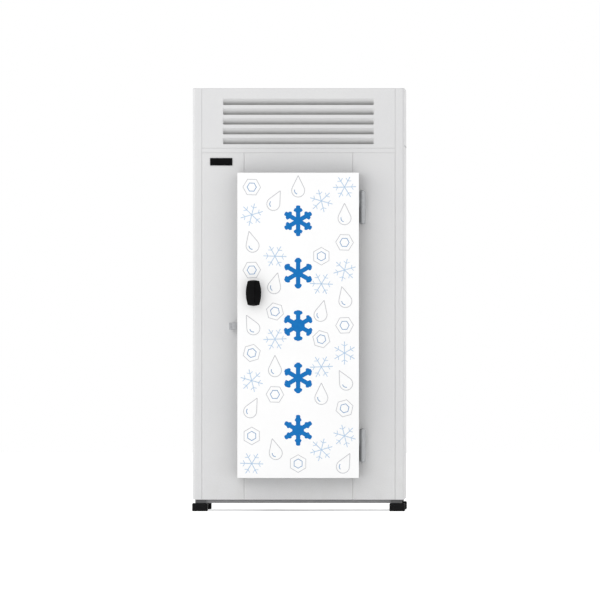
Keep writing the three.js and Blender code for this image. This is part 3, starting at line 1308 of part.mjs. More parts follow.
/** The grip about its own axis, with its ridge, its undercut back, the square spindle and the cam. */
function grip() {
  const x = GRIP_WIDTH / 2;
  const d = GRIP_DEPTH;
  const ridge = 0.1 * x;
  const section = outline([
    [-0.72 * x, 0], [0.72 * x, 0], [x, -0.28 * d], [x, -0.5 * d], [0.82 * x, -0.7 * d],
    [ridge + 0.1 * x, -0.8 * d], [ridge, -d], [-0.5 * x, -0.86 * d], [-0.86 * x, -0.7 * d],
    [-x, -0.5 * d], [-x, -0.28 * d],
  ]);
  const fromTop = upright(section, GRIP_HEIGHT, -GRIP_HEIGHT / 2);
  const z = GRIP_HEIGHT / 2;
  const profile = outline([
    [0, -0.86 * z], [0, 0.86 * z], [-0.3 * d, z], [-0.55 * d, z], [-d, 0.86 * z], [-d, -0.86 * z],
    [-0.55 * d, -z], [-0.3 * d, -z],
  ]);
  const fromSide = sideways(profile, GRIP_WIDTH, -x);
  const body = facing(gripOutline(), d, -d, 4).intersect(fromTop).intersect(fromSide);
  const back = LEAF_FRONT_Y - ROSETTE_DEPTH - GAP;
  const spindle = block(around(0, SPINDLE_WIDTH), [-1, CAM_Y[1] - back], around(0, SPINDLE_WIDTH));
  const cam = bar('y', CAM_RADIUS, [CAM_Y[0] - back, CAM_Y[1] - back], [0, 0], CAM_FACETS);
  const crank = [-BOLT_TRAVEL / 2, BOLT_TRAVEL / 2];
  const crankPin = bar('y', LINK_PIN_RADIUS, [CAM_Y[0] - back, ROD_Y[1] - back], crank, PIN_FACETS);
  const whole = join(body, spindle, cam, crankPin);
  return piece('handle_grip', whole, BLACK_PLASTIC, [HANDLE_X, back, HANDLE_Z]);
}

/** The fixed collar that the grip turns on. */
function rosette() {
  const flangeBottom = ROSETTE_DEPTH - ROSETTE_FLANGE;
  const flangeRadius = ROSETTE_RADIUS + ROSETTE_LIP;
  const profile = [
    [spindleBore(), 0], [ROSETTE_RADIUS, 0], [ROSETTE_RADIUS, flangeBottom - ROSETTE_LIP / 2],
    [flangeRadius, flangeBottom], [flangeRadius, ROSETTE_DEPTH - GAP],
    [spindleBore(), ROSETTE_DEPTH - GAP], [spindleBore(), 0],
  ];
  const body = placed(turned(profile, 20), [0, 0, 0], [-90, 0, 0]);
  return piece('handle_rosette', body, BLACK_PLASTIC, [HANDLE_X, LEAF_FRONT_Y - ROSETTE_DEPTH, HANDLE_Z]);
}

const LOCK_CASE_X = [-LEAF_X + SHEET + GAP, ROD_X + BOLT_TRAVEL + 2 * ROD_WIDTH];
const LOCK_CASE_Y = [ROD_Y[0] - RUNNING - CASE_WALL, BOLT_Y[1] + RUNNING + CASE_WALL];
const LOCK_CASE_Z = around(BOLT_Z, LOCK_CASE_HEIGHT);
const NOSE_X = -LEAF_X + NOSE_INSET;
const BOLT_END_X = ROD_X + BOLT_TRAVEL + LINK_PIN_RADIUS + RUNNING + CASE_WALL;

/** The lift rod: its yoke takes the cam's crank pin, and its foot pin drives the bolt. */
function latchRod() {
  const yokeZ = HANDLE_Z + BOLT_TRAVEL / 2;
  const footZ = BOLT_Z + BOLT_TRAVEL / 2;
  const yoke = block(around(ROD_X, 2 * ROD_WIDTH), ROD_Y, around(yokeZ, ROD_WIDTH));
  const stem = block(around(ROD_X, ROD_WIDTH), ROD_Y, [footZ - ROD_WIDTH / 2, yokeZ]);
  const bulge = BOLT_TRAVEL / Math.SQRT2 - BOLT_TRAVEL / 2;
  const slot = block(
    [ROD_X - bulge - LINK_PIN_RADIUS - RUNNING, ROD_X + LINK_PIN_RADIUS + RUNNING],
    grow(ROD_Y, ROD_THICKNESS),
    around(yokeZ, 2 * (LINK_PIN_RADIUS + RUNNING)),
  );
  const footPin = bar('y', LINK_PIN_RADIUS, [ROD_Y[0], BOLT_Y[1]], [ROD_X, footZ], PIN_FACETS);
  return piece('latch_rod', join(cut(join(stem, yoke), slot), footPin), ZINC);
}

/** The bolt, with the slanting slot that turns the rod's fall into its throw. */
function lockBolt() {
  const body = block([NOSE_X + NOSE_LENGTH, BOLT_END_X], BOLT_Y, around(BOLT_Z, BOLT_HEIGHT));
  const nose = block([NOSE_X, NOSE_X + NOSE_LENGTH + 1], BOLT_Y, around(BOLT_Z, NOSE_HEIGHT));
  const half = BOLT_TRAVEL / 2;
  const reach = (LINK_PIN_RADIUS + RUNNING) * Math.SQRT2;
  const slot = facing(outline([
    [ROD_X - reach, BOLT_Z + half], [ROD_X, BOLT_Z + half + reach],
    [ROD_X + BOLT_TRAVEL + reach, BOLT_Z - half], [ROD_X + BOLT_TRAVEL, BOLT_Z - half - reach],
  ]), 3 * BOLT_THICKNESS, BOLT_Y[0] - BOLT_THICKNESS);
  return piece('lock_bolt', cut(join(body, nose), slot), ZINC);
}

/** The steel case that guides the bolt, open to the rod above and to the leaf's edge. */
function lockCase() {
  const inner = [LOCK_CASE_X[0] + CASE_WALL, LOCK_CASE_X[1] - CASE_WALL];
  const boltHollow = block(inner, grow(BOLT_Y, RUNNING), around(BOLT_Z, BOLT_HEIGHT + 2 * RUNNING));
  const rodHollow = block(
    around(ROD_X, ROD_WIDTH + 2 * RUNNING), grow(ROD_Y, RUNNING), grow(LOCK_CASE_Z, 1),
  );
  const mouth = noseMouth([LOCK_CASE_X[0] - 1, inner[0] + 1]);
  const shell = block(LOCK_CASE_X, LOCK_CASE_Y, LOCK_CASE_Z);
  return piece('lock_case', cut(shell, boltHollow, rodHollow, mouth), ZINC);
}

/** The folded keeper on the frame, with a lip in front of the thrown bolt and a gusset below. */
function lockKeeper() {
  const right = -LEAF_X - KEEPER_CLEARANCE;
  const left = right - KEEPER_WIDTH;
  const riser = right - KEEPER_LIP;
  const wall = FRONT_Y - GAP;
  const lip = BOLT_Y[0] - KEEPER_CLEARANCE;
  const z = BOLT_Z - KEEPER_HEIGHT / 2;
  const fold = outline([
    [left, wall], [left, wall - KEEPER_SHEET],
    [riser, wall - KEEPER_SHEET], [riser, lip - KEEPER_SHEET],
    [right, lip - KEEPER_SHEET], [right, lip],
    [riser + KEEPER_SHEET, lip], [riser + KEEPER_SHEET, wall],
  ]);
  const gusset = outline([
    [left + KEEPER_SHEET, wall - 1], [riser + 1, wall - 1], [riser + 1, lip], [riser - 1, lip],
  ]);
  const rib = upright(gusset, KEEPER_SHEET, z + 1);
  return piece('lock_keeper', join(upright(fold, KEEPER_HEIGHT, z), rib), ZINC);
}

function door() {
  const leaf = new THREE.Group();
  leaf.add(doorSkin(), doorFoam(), doorLiner(), doorGasket());
  leaf.add(rosette(), grip(), latchRod(), lockBolt(), lockCase());
  return leaf;
}

// ---------------------------------------------------------------- the finished object

const freezer = new THREE.Group();
freezer.add(baseFrame(), ...feet(), ...cornerPosts(), ...wallPanels(), doorFramePanel(), doorSill());
freezer.add(...floorAndCeiling(), machineDeck(), ...hoodPanels(), topCover(), badgePlate());
freezer.add(...condensingUnit(), ...evaporator(), interiorLight(), floorRack());
freezer.add(door(), ...hinges(), lockKeeper());

export default freezer;
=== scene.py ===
"""The looks of an upright ice merchandiser: finishes, fine meshes and a plain studio."""

import logging
import math
from dataclasses import dataclass
from enum import Enum
from typing import Callable, Iterable, Sequence

import bmesh
import bpy
from mathutils import Matrix, Vector


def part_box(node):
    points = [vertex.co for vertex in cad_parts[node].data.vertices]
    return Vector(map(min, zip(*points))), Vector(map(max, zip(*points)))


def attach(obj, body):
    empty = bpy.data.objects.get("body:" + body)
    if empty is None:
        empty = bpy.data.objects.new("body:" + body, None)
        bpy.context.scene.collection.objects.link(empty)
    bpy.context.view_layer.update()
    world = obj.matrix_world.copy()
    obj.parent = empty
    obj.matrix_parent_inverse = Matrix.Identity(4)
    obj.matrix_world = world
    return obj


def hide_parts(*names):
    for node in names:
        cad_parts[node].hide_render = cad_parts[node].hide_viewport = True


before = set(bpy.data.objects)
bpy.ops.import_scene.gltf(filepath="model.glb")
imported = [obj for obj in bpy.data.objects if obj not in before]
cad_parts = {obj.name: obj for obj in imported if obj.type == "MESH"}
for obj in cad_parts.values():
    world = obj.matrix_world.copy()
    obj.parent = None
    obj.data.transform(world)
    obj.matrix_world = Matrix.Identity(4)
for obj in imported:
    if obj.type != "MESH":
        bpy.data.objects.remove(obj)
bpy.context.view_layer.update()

LOG = logging.getLogger("freezer")
MM = 0.001
LEVEL = 0.01 * MM  # how near a flat front a face counts as level with it
ON_PLANE = 0.1 * MM  # how near a plane a point counts as on it
NEAR = 1 * MM  # how near a place the middle of an edge or face counts as there
MERGE = 0.02 * MM  # how near two points of a frame node count as one
FLAT_DEGREES = 0.4  # how little two faces of a frame node turn where they are one
PARALLEL = 0.999  # the cosine from which an edge runs along a direction
SQUARE_ON = 0.99  # the cosine from which a face looks in a direction

FRONT = Vector((0, -1, 0))
BACK = Vector((0, 1, 0))
LEFT = Vector((-1, 0, 0))
RIGHT = Vector((1, 0, 0))
UP = Vector((0, 0, 1))
DOWN = Vector((0, 0, -1))

Point = Sequence[float]
Steps = Sequence[tuple[float, float]]
Test = Callable[[Vector, Vector], bool]
Socket = bpy.types.NodeSocket
Material = bpy.types.Material


# ---------------------------------------------------------------- the bench


class Element(Enum):
    """What an edit-mode selection is made of."""

    VERT = "VERT"
    EDGE = "EDGE"
    FACE = "FACE"


class Axis(Enum):
    """A main direction of the frame."""

    X = (1.0, 0.0, 0.0)
    Y = (0.0, 1.0, 0.0)
    Z = (0.0, 0.0, 1.0)

    @property
    def vector(self) -> Vector:
        """The direction as a vector."""
        return Vector(self.value)


def everywhere(middle: Vector, way: Vector) -> bool:
    """A test that every face, edge or vertex passes."""
    return True


def along(direction: Vector) -> Test:
    """A test for edges that run along a direction."""
    return lambda middle, way: abs(way.dot(direction)) > PARALLEL


def facing(direction: Vector) -> Test:
    """A test for faces that look in a direction."""
    return lambda middle, way: way.dot(direction) > SQUARE_ON


def scaled(steps: Steps, radius: float, height: float) -> list[tuple[float, float]]:
    """A turned profile from steps given as shares of a radius and a height."""
    return [(share * radius, level * height) for share, level in steps]


def centre_of(node: str) -> Vector:
    """The middle of a node's box."""
    low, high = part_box(node)
    return (low + high) / 2


def deselect_all() -> None:
    """Leaves nothing selected, in object mode."""
    if bpy.context.mode != "OBJECT":
        bpy.ops.object.mode_set(mode="OBJECT")
    bpy.ops.object.select_all(action="DESELECT")


class Workpiece:
    """One mesh on the bench. Each step works on it alone and gives it back for the next one."""

    def __init__(self, obj: bpy.types.Object, name: str) -> None:
        """Takes an object on the bench under a name.

        Args:
            obj: The mesh object.
            name: Its name from now on.
        """
        self.obj = obj
        obj.name = name
        obj.data.name = name

    # starts

    @classmethod
    def block(cls, name: str, low: Point, high: Point) -> "Workpiece":
        """A block between two corners.

        Args:
            name: The piece's name.
            low: Its lowest corner.
            high: Its highest corner.

        Returns:
            The block.
        """
        deselect_all()
        low, high = Vector(low), Vector(high)
        bpy.ops.mesh.primitive_cube_add(size=1.0, location=(low + high) / 2)
        bpy.context.object.scale = high - low
        return cls(bpy.context.object, name)._settle()

    @classmethod
    def drum(cls, name: str, start: Point, end: Point, radius: float, sides: int = 48) -> "Workpiece":
        """A round bar between two points.

        Args:
            name: The piece's name.
            start: The middle of one end.
            end: The middle of the other end.
            radius: Its radius.
            sides: How many sides it has.

        Returns:
            The bar.
        """
        deselect_all()
        way = Vector(end) - Vector(start)
        bpy.ops.mesh.primitive_cylinder_add(
            vertices=sides, radius=radius, depth=way.length,
            location=(Vector(start) + Vector(end)) / 2, rotation=way.to_track_quat("Z", "Y").to_euler(),
        )
        return cls(bpy.context.object, name)._settle()

    @classmethod
    def ring(cls, name: str, centre: Point, axis: Axis, radius: float, wire: float,
             sides: int = 48, wire_sides: int = 8) -> "Workpiece":
        """A wire ring.

        Args:
            name: The piece's name.
            centre: Its middle.
            axis: The axis that it goes round.
            radius: The radius of the wire's centre line.
            wire: The wire's radius.
            sides: Steps round the ring.
            wire_sides: Sides of the wire.

        Returns:
            The ring.
        """
        deselect_all()
        bpy.ops.mesh.primitive_torus_add(
            location=centre, rotation=axis.vector.to_track_quat("Z", "Y").to_euler(),
            major_radius=radius, minor_radius=wire, major_segments=sides, minor_segments=wire_sides,
        )
        return cls(bpy.context.object, name)._settle()

    @classmethod
    def turned(cls, name: str, foot: Point, axis: Vector, profile: Steps, sides: int = 48) -> "Workpiece":
        """A turned solid: a disc whose face is pushed out and resized step by step.

        Args:
            name: The piece's name.
            foot: Where the profile's height is nought.
            axis: The direction in which the height grows.
            profile: Radius and height of each step, none with radius nought.
            sides: How many sides it has.

        Returns:
            The solid.
        """
        deselect_all()
        foot, axis = Vector(foot), Vector(axis).normalized()
        radius, height = profile[0]
        bpy.ops.mesh.primitive_circle_add(
            vertices=sides, radius=radius, fill_type="NGON", location=foot + axis * height,
            rotation=axis.to_track_quat("Z", "Y").to_euler(),
        )
        piece = cls(bpy.context.object, name)._settle()
        piece._select(Element.FACE, everywhere)
        for next_radius, next_height in profile[1:]:
            bpy.ops.mesh.extrude_region_move(
                TRANSFORM_OT_translate={"value": axis * (next_height - height)})
            bpy.ops.transform.resize(
                value=(next_radius / radius,) * 3, center_override=foot + axis * next_height)
            radius, height = next_radius, next_height
        return piece._done().turn_faces_out()

    @classmethod
    def copy_of(cls, node: str, made: str) -> "Workpiece":
        """A copy of a frame node, merged, with its flat faces whole again.

        Args:
            node: The node's name.
            made: How the piece is made, which ends its name.

        Returns:
            The copy.
        """
        deselect_all()
        name = f"{node}_{made}"
        obj = bpy.data.objects.new(name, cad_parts[node].data.copy())
        obj.data.materials.clear()
        bpy.context.scene.collection.objects.link(obj)
        piece = cls(obj, name)
        piece._focus()
        if obj.data.has_custom_normals:
            bpy.ops.mesh.customdata_custom_splitnormals_clear()
        piece._select(Element.FACE, everywhere)
        bpy.ops.mesh.remove_doubles(threshold=MERGE)
        bpy.ops.mesh.dissolve_limited(angle_limit=math.radians(FLAT_DEGREES))
        return piece._done()

    @classmethod
    def joined(cls, name: str, pieces: Iterable["Workpiece"]) -> "Workpiece":
        """Several meshes in one object, as they are.

        Args:
            name: The object's name.
            pieces: The meshes, which are used up.

        Returns:
            The object.
        """
        first, *rest = pieces
        return cls(first.gather(rest).obj, name)

    # steps

    def _focus(self) -> None:
        """Makes this the one selected and active object."""
        deselect_all()
        self.obj.select_set(True)
        bpy.context.view_layer.objects.active = self.obj

    def _settle(self) -> "Workpiece":
        """Puts the object at the origin, with its place in its mesh.

        Returns:
            The piece.
        """
        self._focus()
        bpy.ops.object.transform_apply(location=True, rotation=True, scale=True)
        return self

    def _select(self, element: Element, test: Test) -> bool:
        """Selects in edit mode what passes a test on its middle and its direction or normal.

        Args:
            element: What is selected.
            test: Says which of them.

        Returns:
            Whether anything passed.
        """
        self._focus()
        bpy.ops.object.mode_set(mode="EDIT")
        bpy.ops.mesh.select_mode(type=element.value)
        bpy.ops.mesh.select_all(action="DESELECT")
        mesh = bmesh.from_edit_mesh(self.obj.data)
        mesh.normal_update()
        if element is Element.FACE:
            rows = [(f, f.calc_center_median(), f.normal) for f in mesh.faces]
        elif element is Element.EDGE:
            ends = [(edge, edge.verts[0].co, edge.verts[1].co) for edge in mesh.edges]
            rows = [(edge, (a + b) / 2, (b - a).normalized()) for edge, a, b in ends]
        else:
            rows = [(v, v.co, v.normal) for v in mesh.verts]
        chosen = [item for item, middle, way in rows if test(middle, way)]
        for item in chosen:
            item.select_set(True)
        mesh.select_flush_mode()
        bmesh.update_edit_mesh(self.obj.data)
        return bool(chosen)

    def _done(self) -> "Workpiece":
        """Goes back to object mode."""
        bpy.ops.object.mode_set(mode="OBJECT")
        return self

    def bevel(self, test: Test, width: float, segments: int = 3) -> "Workpiece":
        """Rounds the edges that pass a test.

        Args:
            test: Says which edges.
            width: The bevel's width.
            segments: Its steps.

        Returns:
            The piece.
        """
        if self._select(Element.EDGE, test):
            bpy.ops.mesh.bevel(offset=width, segments=segments, affect="EDGES", clamp_overlap=True)
        return self._done()

    def push(self, test: Test, offset: Point) -> "Workpiece":
        """Extrudes the faces that pass a test.

        Args:
            test: Says which faces.
            offset: How far and which way.

        Returns:
            The piece.
        """
        if self._select(Element.FACE, test):
            bpy.ops.mesh.extrude_region_move(TRANSFORM_OT_translate={"value": Vector(offset)})
        return self._done()

    def inset(self, test: Test, width: float, depth: float = 0.0) -> "Workpiece":
        """Insets the faces that pass a test, and sinks them by a depth.

        Args:
            test: Says which faces.
            width: How far in from their rim.
            depth: How deep, below nought to sink.

        Returns:
            The piece.
        """
        if self._select(Element.FACE, test):
            bpy.ops.mesh.inset(thickness=width, depth=depth)
        return self._done()

    def resize(self, test: Test, factors: Point) -> "Workpiece":
        """Scales the vertices that pass a test about the origin.

        Args:
            test: Says which vertices.
            factors: By how much along each axis.

        Returns:
            The piece.
        """
        if self._select(Element.VERT, test):
            bpy.ops.transform.resize(value=Vector(factors), center_override=Vector())
        return self._done()

    def slice(self, point: Point, normal: Point) -> "Workpiece":
        """Adds a loop of edges where a plane crosses the piece.

        Args:
            point: A point of the plane.
            normal: The plane's normal.

        Returns:
            The piece.
        """
        self._select(Element.FACE, everywhere)
        bpy.ops.mesh.bisect(plane_co=Vector(point), plane_no=Vector(normal))
        return self._done()

    def remove(self, test: Test) -> "Workpiece":
        """Deletes the faces that pass a test.

        Args:
            test: Says which faces.

        Returns:
            The piece.
        """
        if self._select(Element.FACE, test):
            bpy.ops.mesh.delete(type="FACE")
        return self._done()

    def turn_faces_out(self) -> "Workpiece":
        """Points all faces outwards.

        Returns:
            The piece.
        """
        self._select(Element.FACE, everywhere)
        bpy.ops.mesh.normals_make_consistent(inside=False)
        return self._done()

    def modify(self, kind: str, **settings: object) -> "Workpiece":
        """Adds a modifier and applies it.

        Args:
            kind: The modifier's type.
            settings: Its settings by name.

        Returns:
            The piece.
        """
        self._focus()
        modifier = self.obj.modifiers.new(kind.title(), kind)
        for key, value in settings.items():
            setattr(modifier, key, value)
        bpy.ops.object.modifier_apply(modifier=modifier.name)
        return self

    def soften(self, width: float, segments: int = 2, limit: float = 40.0) -> "Workpiece":
        """Rounds every edge sharper than a limit.

        Args:
            width: The rounding's width.
            segments: Its steps.
            limit: The limit in degrees.

        Returns:
            The piece.
        """
        return self.modify(
            "BEVEL", width=width, segments=segments, limit_method="ANGLE",
            angle_limit=math.radians(limit), use_clamp_overlap=True,
        )

    def _solve(self, other: "Workpiece", operation: str) -> "Workpiece":
        """Runs a boolean with another solid and uses it up.

        Args:
            other: The other solid.
            operation: The boolean's kind.

        Returns:
            The piece.
        """
        self.modify("BOOLEAN", operation=operation, solver="EXACT", object=other.obj)
        other.discard()
        return self

    def combine(self, other: "Workpiece") -> "Workpiece":
        """Joins another solid to this one."""
        return self._solve(other, "UNION")

    def cut(self, other: "Workpiece") -> "Workpiece":
        """Cuts another solid out of this one."""
        return self._solve(other, "DIFFERENCE")

    def discard(self) -> None:
        """Takes the object off the bench."""
        bpy.data.objects.remove(self.obj)

    def gather(self, others: Iterable["Workpiece"]) -> "Workpiece":
        """Takes other meshes into this object as they are.

        Args:
            others: The meshes, which are used up.

        Returns:
            The piece.
        """
        self._focus()
        for other in others:
            other.obj.select_set(True)
        bpy.ops.object.join()
        return self

    def placed(self, place: Matrix) -> "Workpiece":
        """Moves the mesh by a matrix."""
        self.obj.data.transform(place)
        return self

    def copied(self, name: str, place: Matrix) -> "Workpiece":
        """A copy with its own mesh, moved by a matrix.

        Args:
            name: The copy's name.
            place: The matrix.

        Returns:
            The copy.
        """
        obj = bpy.data.objects.new(name, self.obj.data.copy())
        bpy.context.scene.collection.objects.link(obj)
        return Workpiece(obj, name).placed(place)

    def repeated(self, name: str, places: Iterable[Matrix]) -> "Workpiece":
        """Copies of this piece at many places, in one object, in its stead.

        Args:
            name: The object's name.
            places: A matrix for each copy.

        Returns:
            The object.
        """
        copies = [self.copied(name, place) for place in places]
        self.discard()
        return Workpiece.joined(name, copies)

    def smooth(self, angle: float = 35.0) -> "Workpiece":
        """Shades faces smooth where they meet at a small angle, large faces staying even.

        Args:
            angle: The angle in degrees.

        Returns:
            The piece.
        """
        self._focus()
        bpy.ops.object.shade_smooth_by_angle(angle=math.radians(angle))
        return self.modify("WEIGHTED_NORMAL", keep_sharp=True, weight=100)

    def fit(self, finish: Material, body: str, slot: str = "", stands_for: Sequence[str] = (),
            trims: Sequence[tuple[Material, Test]] = ()) -> None:
        """Ends the work: gives the piece its finishes and its body, and hides the nodes it stands for.

        Args:
            finish: Its main material.
            body: The body it rides on.
            slot: The slot of its finish; not used.
            stands_for: The frame nodes that it replaces.
            trims: Other materials, each with the test for its faces.
        """
        self.obj.data.materials.clear()
        self.obj.data.materials.append(finish)
        for number, (other, test) in enumerate(trims, 1):
            self.obj.data.materials.append(other)
            if self._select(Element.FACE, test):
                self.obj.active_material_index = number
                bpy.ops.object.material_slot_assign()
            self._done()
        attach(self.obj, body)
        if stands_for:
            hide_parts(*stands_for)
        LOG.info("%s: %d faces on %s", self.obj.name, len(self.obj.data.polygons), body)


def dress(node: str, finish: Material) -> None:
    """Gives a frame node its material.

    Args:
        node: The node's name.
        finish: The material.
    """
    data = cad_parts[node].data
    data.materials.clear()
    data.materials.append(finish)
    LOG.info("%s: dressed", node)


def rework(node: str, made: str, finish: Material, slot: str, edge: float, steps: int = 2,
           limit: float = 40.0, shade: float = 35.0, body: str = "cabinet") -> None:
    """Stands in for a frame node with a copy of it whose sharp edges are rounded.

    Args:
        node: The node's name.
        made: How the piece is made, which ends its name.
        finish: Its material.
        slot: The slot of its finish.
        edge: The rounding's width.
        steps: The rounding's steps.
        limit: The angle in degrees above which an edge is rounded.
        shade: The angle in degrees below which faces are shaded smooth.
        body: The body it rides on.
    """
    piece = Workpiece.copy_of(node, made).soften(edge, steps, limit)
    piece.smooth(shade).fit(finish, body, slot, [node])


# ---------------------------------------------------------------- finishes


def linear(colour: Point) -> tuple[float, float, float, float]:
    """A colour as the shader takes it.

    Args:
        colour: Red, green and blue in display values from 0 to 255.

    Returns:
        The linear colour, opaque.
    """
    def channel(value: float) -> float:
        """One display value as a linear share."""
        share = value / 255
        return share / 12.92 if share <= 0.04045 else ((share + 0.055) / 1.055) ** 2.4
    red, green, blue = (channel(value) for value in colour)
    return red, green, blue, 1.0


def shifted(colour: Point, *steps: float) -> tuple[float, ...]:
    """A display colour moved by one step for all channels or one each, at most 255."""
    steps = steps * 3 if len(steps) == 1 else steps
    return tuple(min(255, channel + step) for channel, step in zip(colour, steps))


class Arithmetic(Enum):
    """What a node reckons from one or two values."""

    SUBTRACT = "SUBTRACT"
    MULTIPLY = "MULTIPLY"
    POWER = "POWER"
    ABSOLUTE = "ABSOLUTE"
    MAXIMUM = "MAXIMUM"


class NodeBoard:
    """Lays out nodes in one node tree."""

    def __init__(self, owner: bpy.types.ID) -> None:
        """Opens the tree of a material or world.

        Args:
            owner: The material or world.
        """
        owner.use_nodes = True
        self.tree = owner.node_tree

    def node(self, kind: str, inputs: dict[object, object], **settings: object) -> bpy.types.Node:
        """A node with its settings, and its inputs set or linked.

        Args:
            kind: The node's type without its prefix.
            inputs: Values or sockets by input name or number.
            settings: The node's own settings.

        Returns:
            The node.
        """
        made = self.tree.nodes.new(f"ShaderNode{kind}")
        for key, value in settings.items():
            setattr(made, key, value)
        for key, value in inputs.items():
            if isinstance(value, Socket):
                self.tree.links.new(value, made.inputs[key])
            else:
                made.inputs[key].default_value = value
        return made

    def reckon(self, rule: Arithmetic, *values: object) -> Socket:
        """A value reckoned from others."""
        return self.node("Math", dict(enumerate(values)), operation=rule.value).outputs[0]

    def range(self, value: Socket, low: float, high: float, start: float = 0.3, end: float = 0.7) -> Socket:
        """A value brought from the span between start and end to the one between low and high."""
        spans = {"From Min": start, "From Max": end, "To Min": low, "To Max": high}
        return self.node("MapRange", {"Value": value, **spans}).outputs["Result"]


class Palette(NodeBoard):
    """Lays out one material's nodes, reading Object coordinates."""

    def __init__(self, name: str, **constants: object) -> None:
        """Makes the material with its shader.

        Args:
            name: The material's name.
            constants: Values set on the shader's own sockets.
        """
        self.material = bpy.data.materials.new(name)
        super().__init__(self.material)
        self.shader = self.tree.nodes["Principled BSDF"]
        for key, value in constants.items():
            self.shader.inputs[key.replace("_", " ")].default_value = value
        self.place = self.node("TexCoord", {}).outputs["Object"]

    def part(self, vector: Socket, axis: Axis) -> Socket:
        """One component of a vector."""
        return self.node("SeparateXYZ", {"Vector": vector}).outputs[axis.name]

    def noise(self, scale: float, detail: float = 3.0, factors: Point | None = None) -> Socket:
        """Noise from 0 to 1.

        Args:
            scale: Its bumps in a metre.
            detail: Its finer layers.
            factors: By how much the scale is multiplied along each axis.

        Returns:
            The noise.
        """
        vector = self.place
        if factors:
            vector = self.node("Mapping", {"Vector": vector, "Scale": tuple(factors)}).outputs["Vector"]
        return self.node("TexNoise", {"Vector": vector, "Scale": scale, "Detail": detail}).outputs["Fac"]

    def cells(self, scale: float) -> Socket:
        """A grey value that changes from cell to cell."""
        colour = self.node("TexVoronoi", {"Vector": self.place, "Scale": scale}).outputs["Color"]
        return self.node("RGBToBW", {"Color": colour}).outputs["Val"]

    def ramp(self, value: Socket, low: Point, high: Point, start: float = 0.3, end: float = 0.7) -> Socket:
        """A colour that goes from one to another as a value rises.

        Args:
            value: The value.
            low: The display colour up to the start.
            high: The display colour from the end on.
            start: The value at which it begins to change.
            end: The value at which it has changed.

        Returns:
            The colour.
        """
        made = self.node("ValToRGB", {"Fac": value})
        first, last = made.color_ramp.elements
        first.position, last.position = start, end
        first.color, last.color = linear(low), linear(high)
        return made.outputs["Color"]

    def blend(self, share: object, first: object, second: object, mode: str = "MIX") -> Socket:
        """One colour over another."""
        made = self.node("Mix", {0: share, 6: first, 7: second}, data_type="RGBA", blend_type=mode)
        return made.outputs[2]

    def feed(self, **sockets: Socket) -> Material:
        """Links sockets to the shader.

        Args:
            sockets: The sockets by the names of the shader's inputs.

        Returns:
            The material.
        """
        for key, value in sockets.items():
            self.tree.links.new(value, self.shader.inputs[key.replace("_", " ")])
        return self.material

    def finished(self, base: Socket, gloss: Socket, *layers: tuple[Socket, float, float]) -> Material:
        """Links the colour, the roughness and the relief to the shader.

        Args:
            base: The colour.
            gloss: The roughness.
            layers: The relief, each layer with its height, its strength and its depth.

        Returns:
            The material.
        """
        relief = {}
        for height, strength, depth in layers:
            inputs = {"Height": height, "Strength": strength, "Distance": depth, **relief}
            relief = {"Normal": self.node("Bump", inputs).outputs["Normal"]}
        return self.feed(Base_Color=base, Roughness=gloss, **relief)


@dataclass(frozen=True)
class PowderCoat:
    """Baked powder paint on sheet steel, with a slight orange peel and a little dust low down."""

    name: str = "powder_coat"
    colour: Point = (229, 229, 229)
    roughness: float = 0.42
    peel: float = 420.0
    dusty_below: float = 0.45

    def material(self) -> Material:
        """The finish as a material.

        Returns:
            The material.
        """
        ink = Palette(self.name, Coat_Weight=0.08, Coat_Roughness=0.3, Specular_IOR_Level=0.35)
        base = ink.ramp(ink.noise(2.3, 4.0), shifted(self.colour, -3, -3, -2), shifted(self.colour, 1))
        speck = ink.ramp(ink.noise(900.0, 1.0), (242, 242, 242), (255, 255, 255), 0.35, 0.6)
        base = ink.blend(1.0, base, speck, "MULTIPLY")
        dust = ink.range(ink.part(ink.place, Axis.Z), 0.22, 0.0, 0.04, self.dusty_below)
        patches = ink.range(ink.noise(11.0, 5.0), 0.0, 1.0, 0.45, 0.75)
        grime = ink.reckon(Arithmetic.MULTIPLY, dust, patches)
        base = ink.blend(grime, base, linear(shifted(self.colour, -22, -24, -28)))
        gloss = ink.range(ink.noise(16.0, 4.0), self.roughness - 0.05, self.roughness + 0.06)
        return ink.finished(base, gloss, (ink.noise(self.peel, 2.0), 0.06, 0.25 * MM),
                            (ink.noise(7.0, 1.0), 0.02, 1.2 * MM))


@dataclass(frozen=True)
class LouvreCoat:
    """The hood's paint on its louvres, with painted shade that greys it the further it lies behind the hood's
    faces.
    """

    clean: Point = (229, 229, 229)
    # the grey of the painted shade deep in the louvres' recesses
    recess_shade: Point = (156, 156, 155)
    middle: float = 75.9 * MM
    half_depth: float = 425 * MM
    start: float = 3 * MM
    end: float = 18.5 * MM

    def material(self) -> Material:
        """The finish as a material.

        Returns:
            The material.
        """
        ink = Palette("louvre_coat", Specular_IOR_Level=0.3)
        offset = ink.reckon(Arithmetic.SUBTRACT, ink.part(ink.place, Axis.Y), self.middle)
        distance = ink.reckon(Arithmetic.ABSOLUTE, offset)
        depth = ink.range(distance, 1.0, 0.0, self.half_depth - self.end, self.half_depth - self.start)
        cloud = ink.range(ink.noise(24.0, 4.0), 0.88, 1.0)
        share = ink.reckon(Arithmetic.MULTIPLY, ink.reckon(Arithmetic.POWER, depth, 2.0), cloud)
        # painted shade: the paint turns grey with depth into the louvres' recesses, mottled by the noise
        base = ink.blend(share, linear(self.clean), linear(self.recess_shade))
        gloss = ink.range(depth, 0.42, 0.62, 0.0, 1.0)
        return ink.finished(base, gloss, (ink.noise(420.0, 2.0), 0.06, 0.25 * MM))


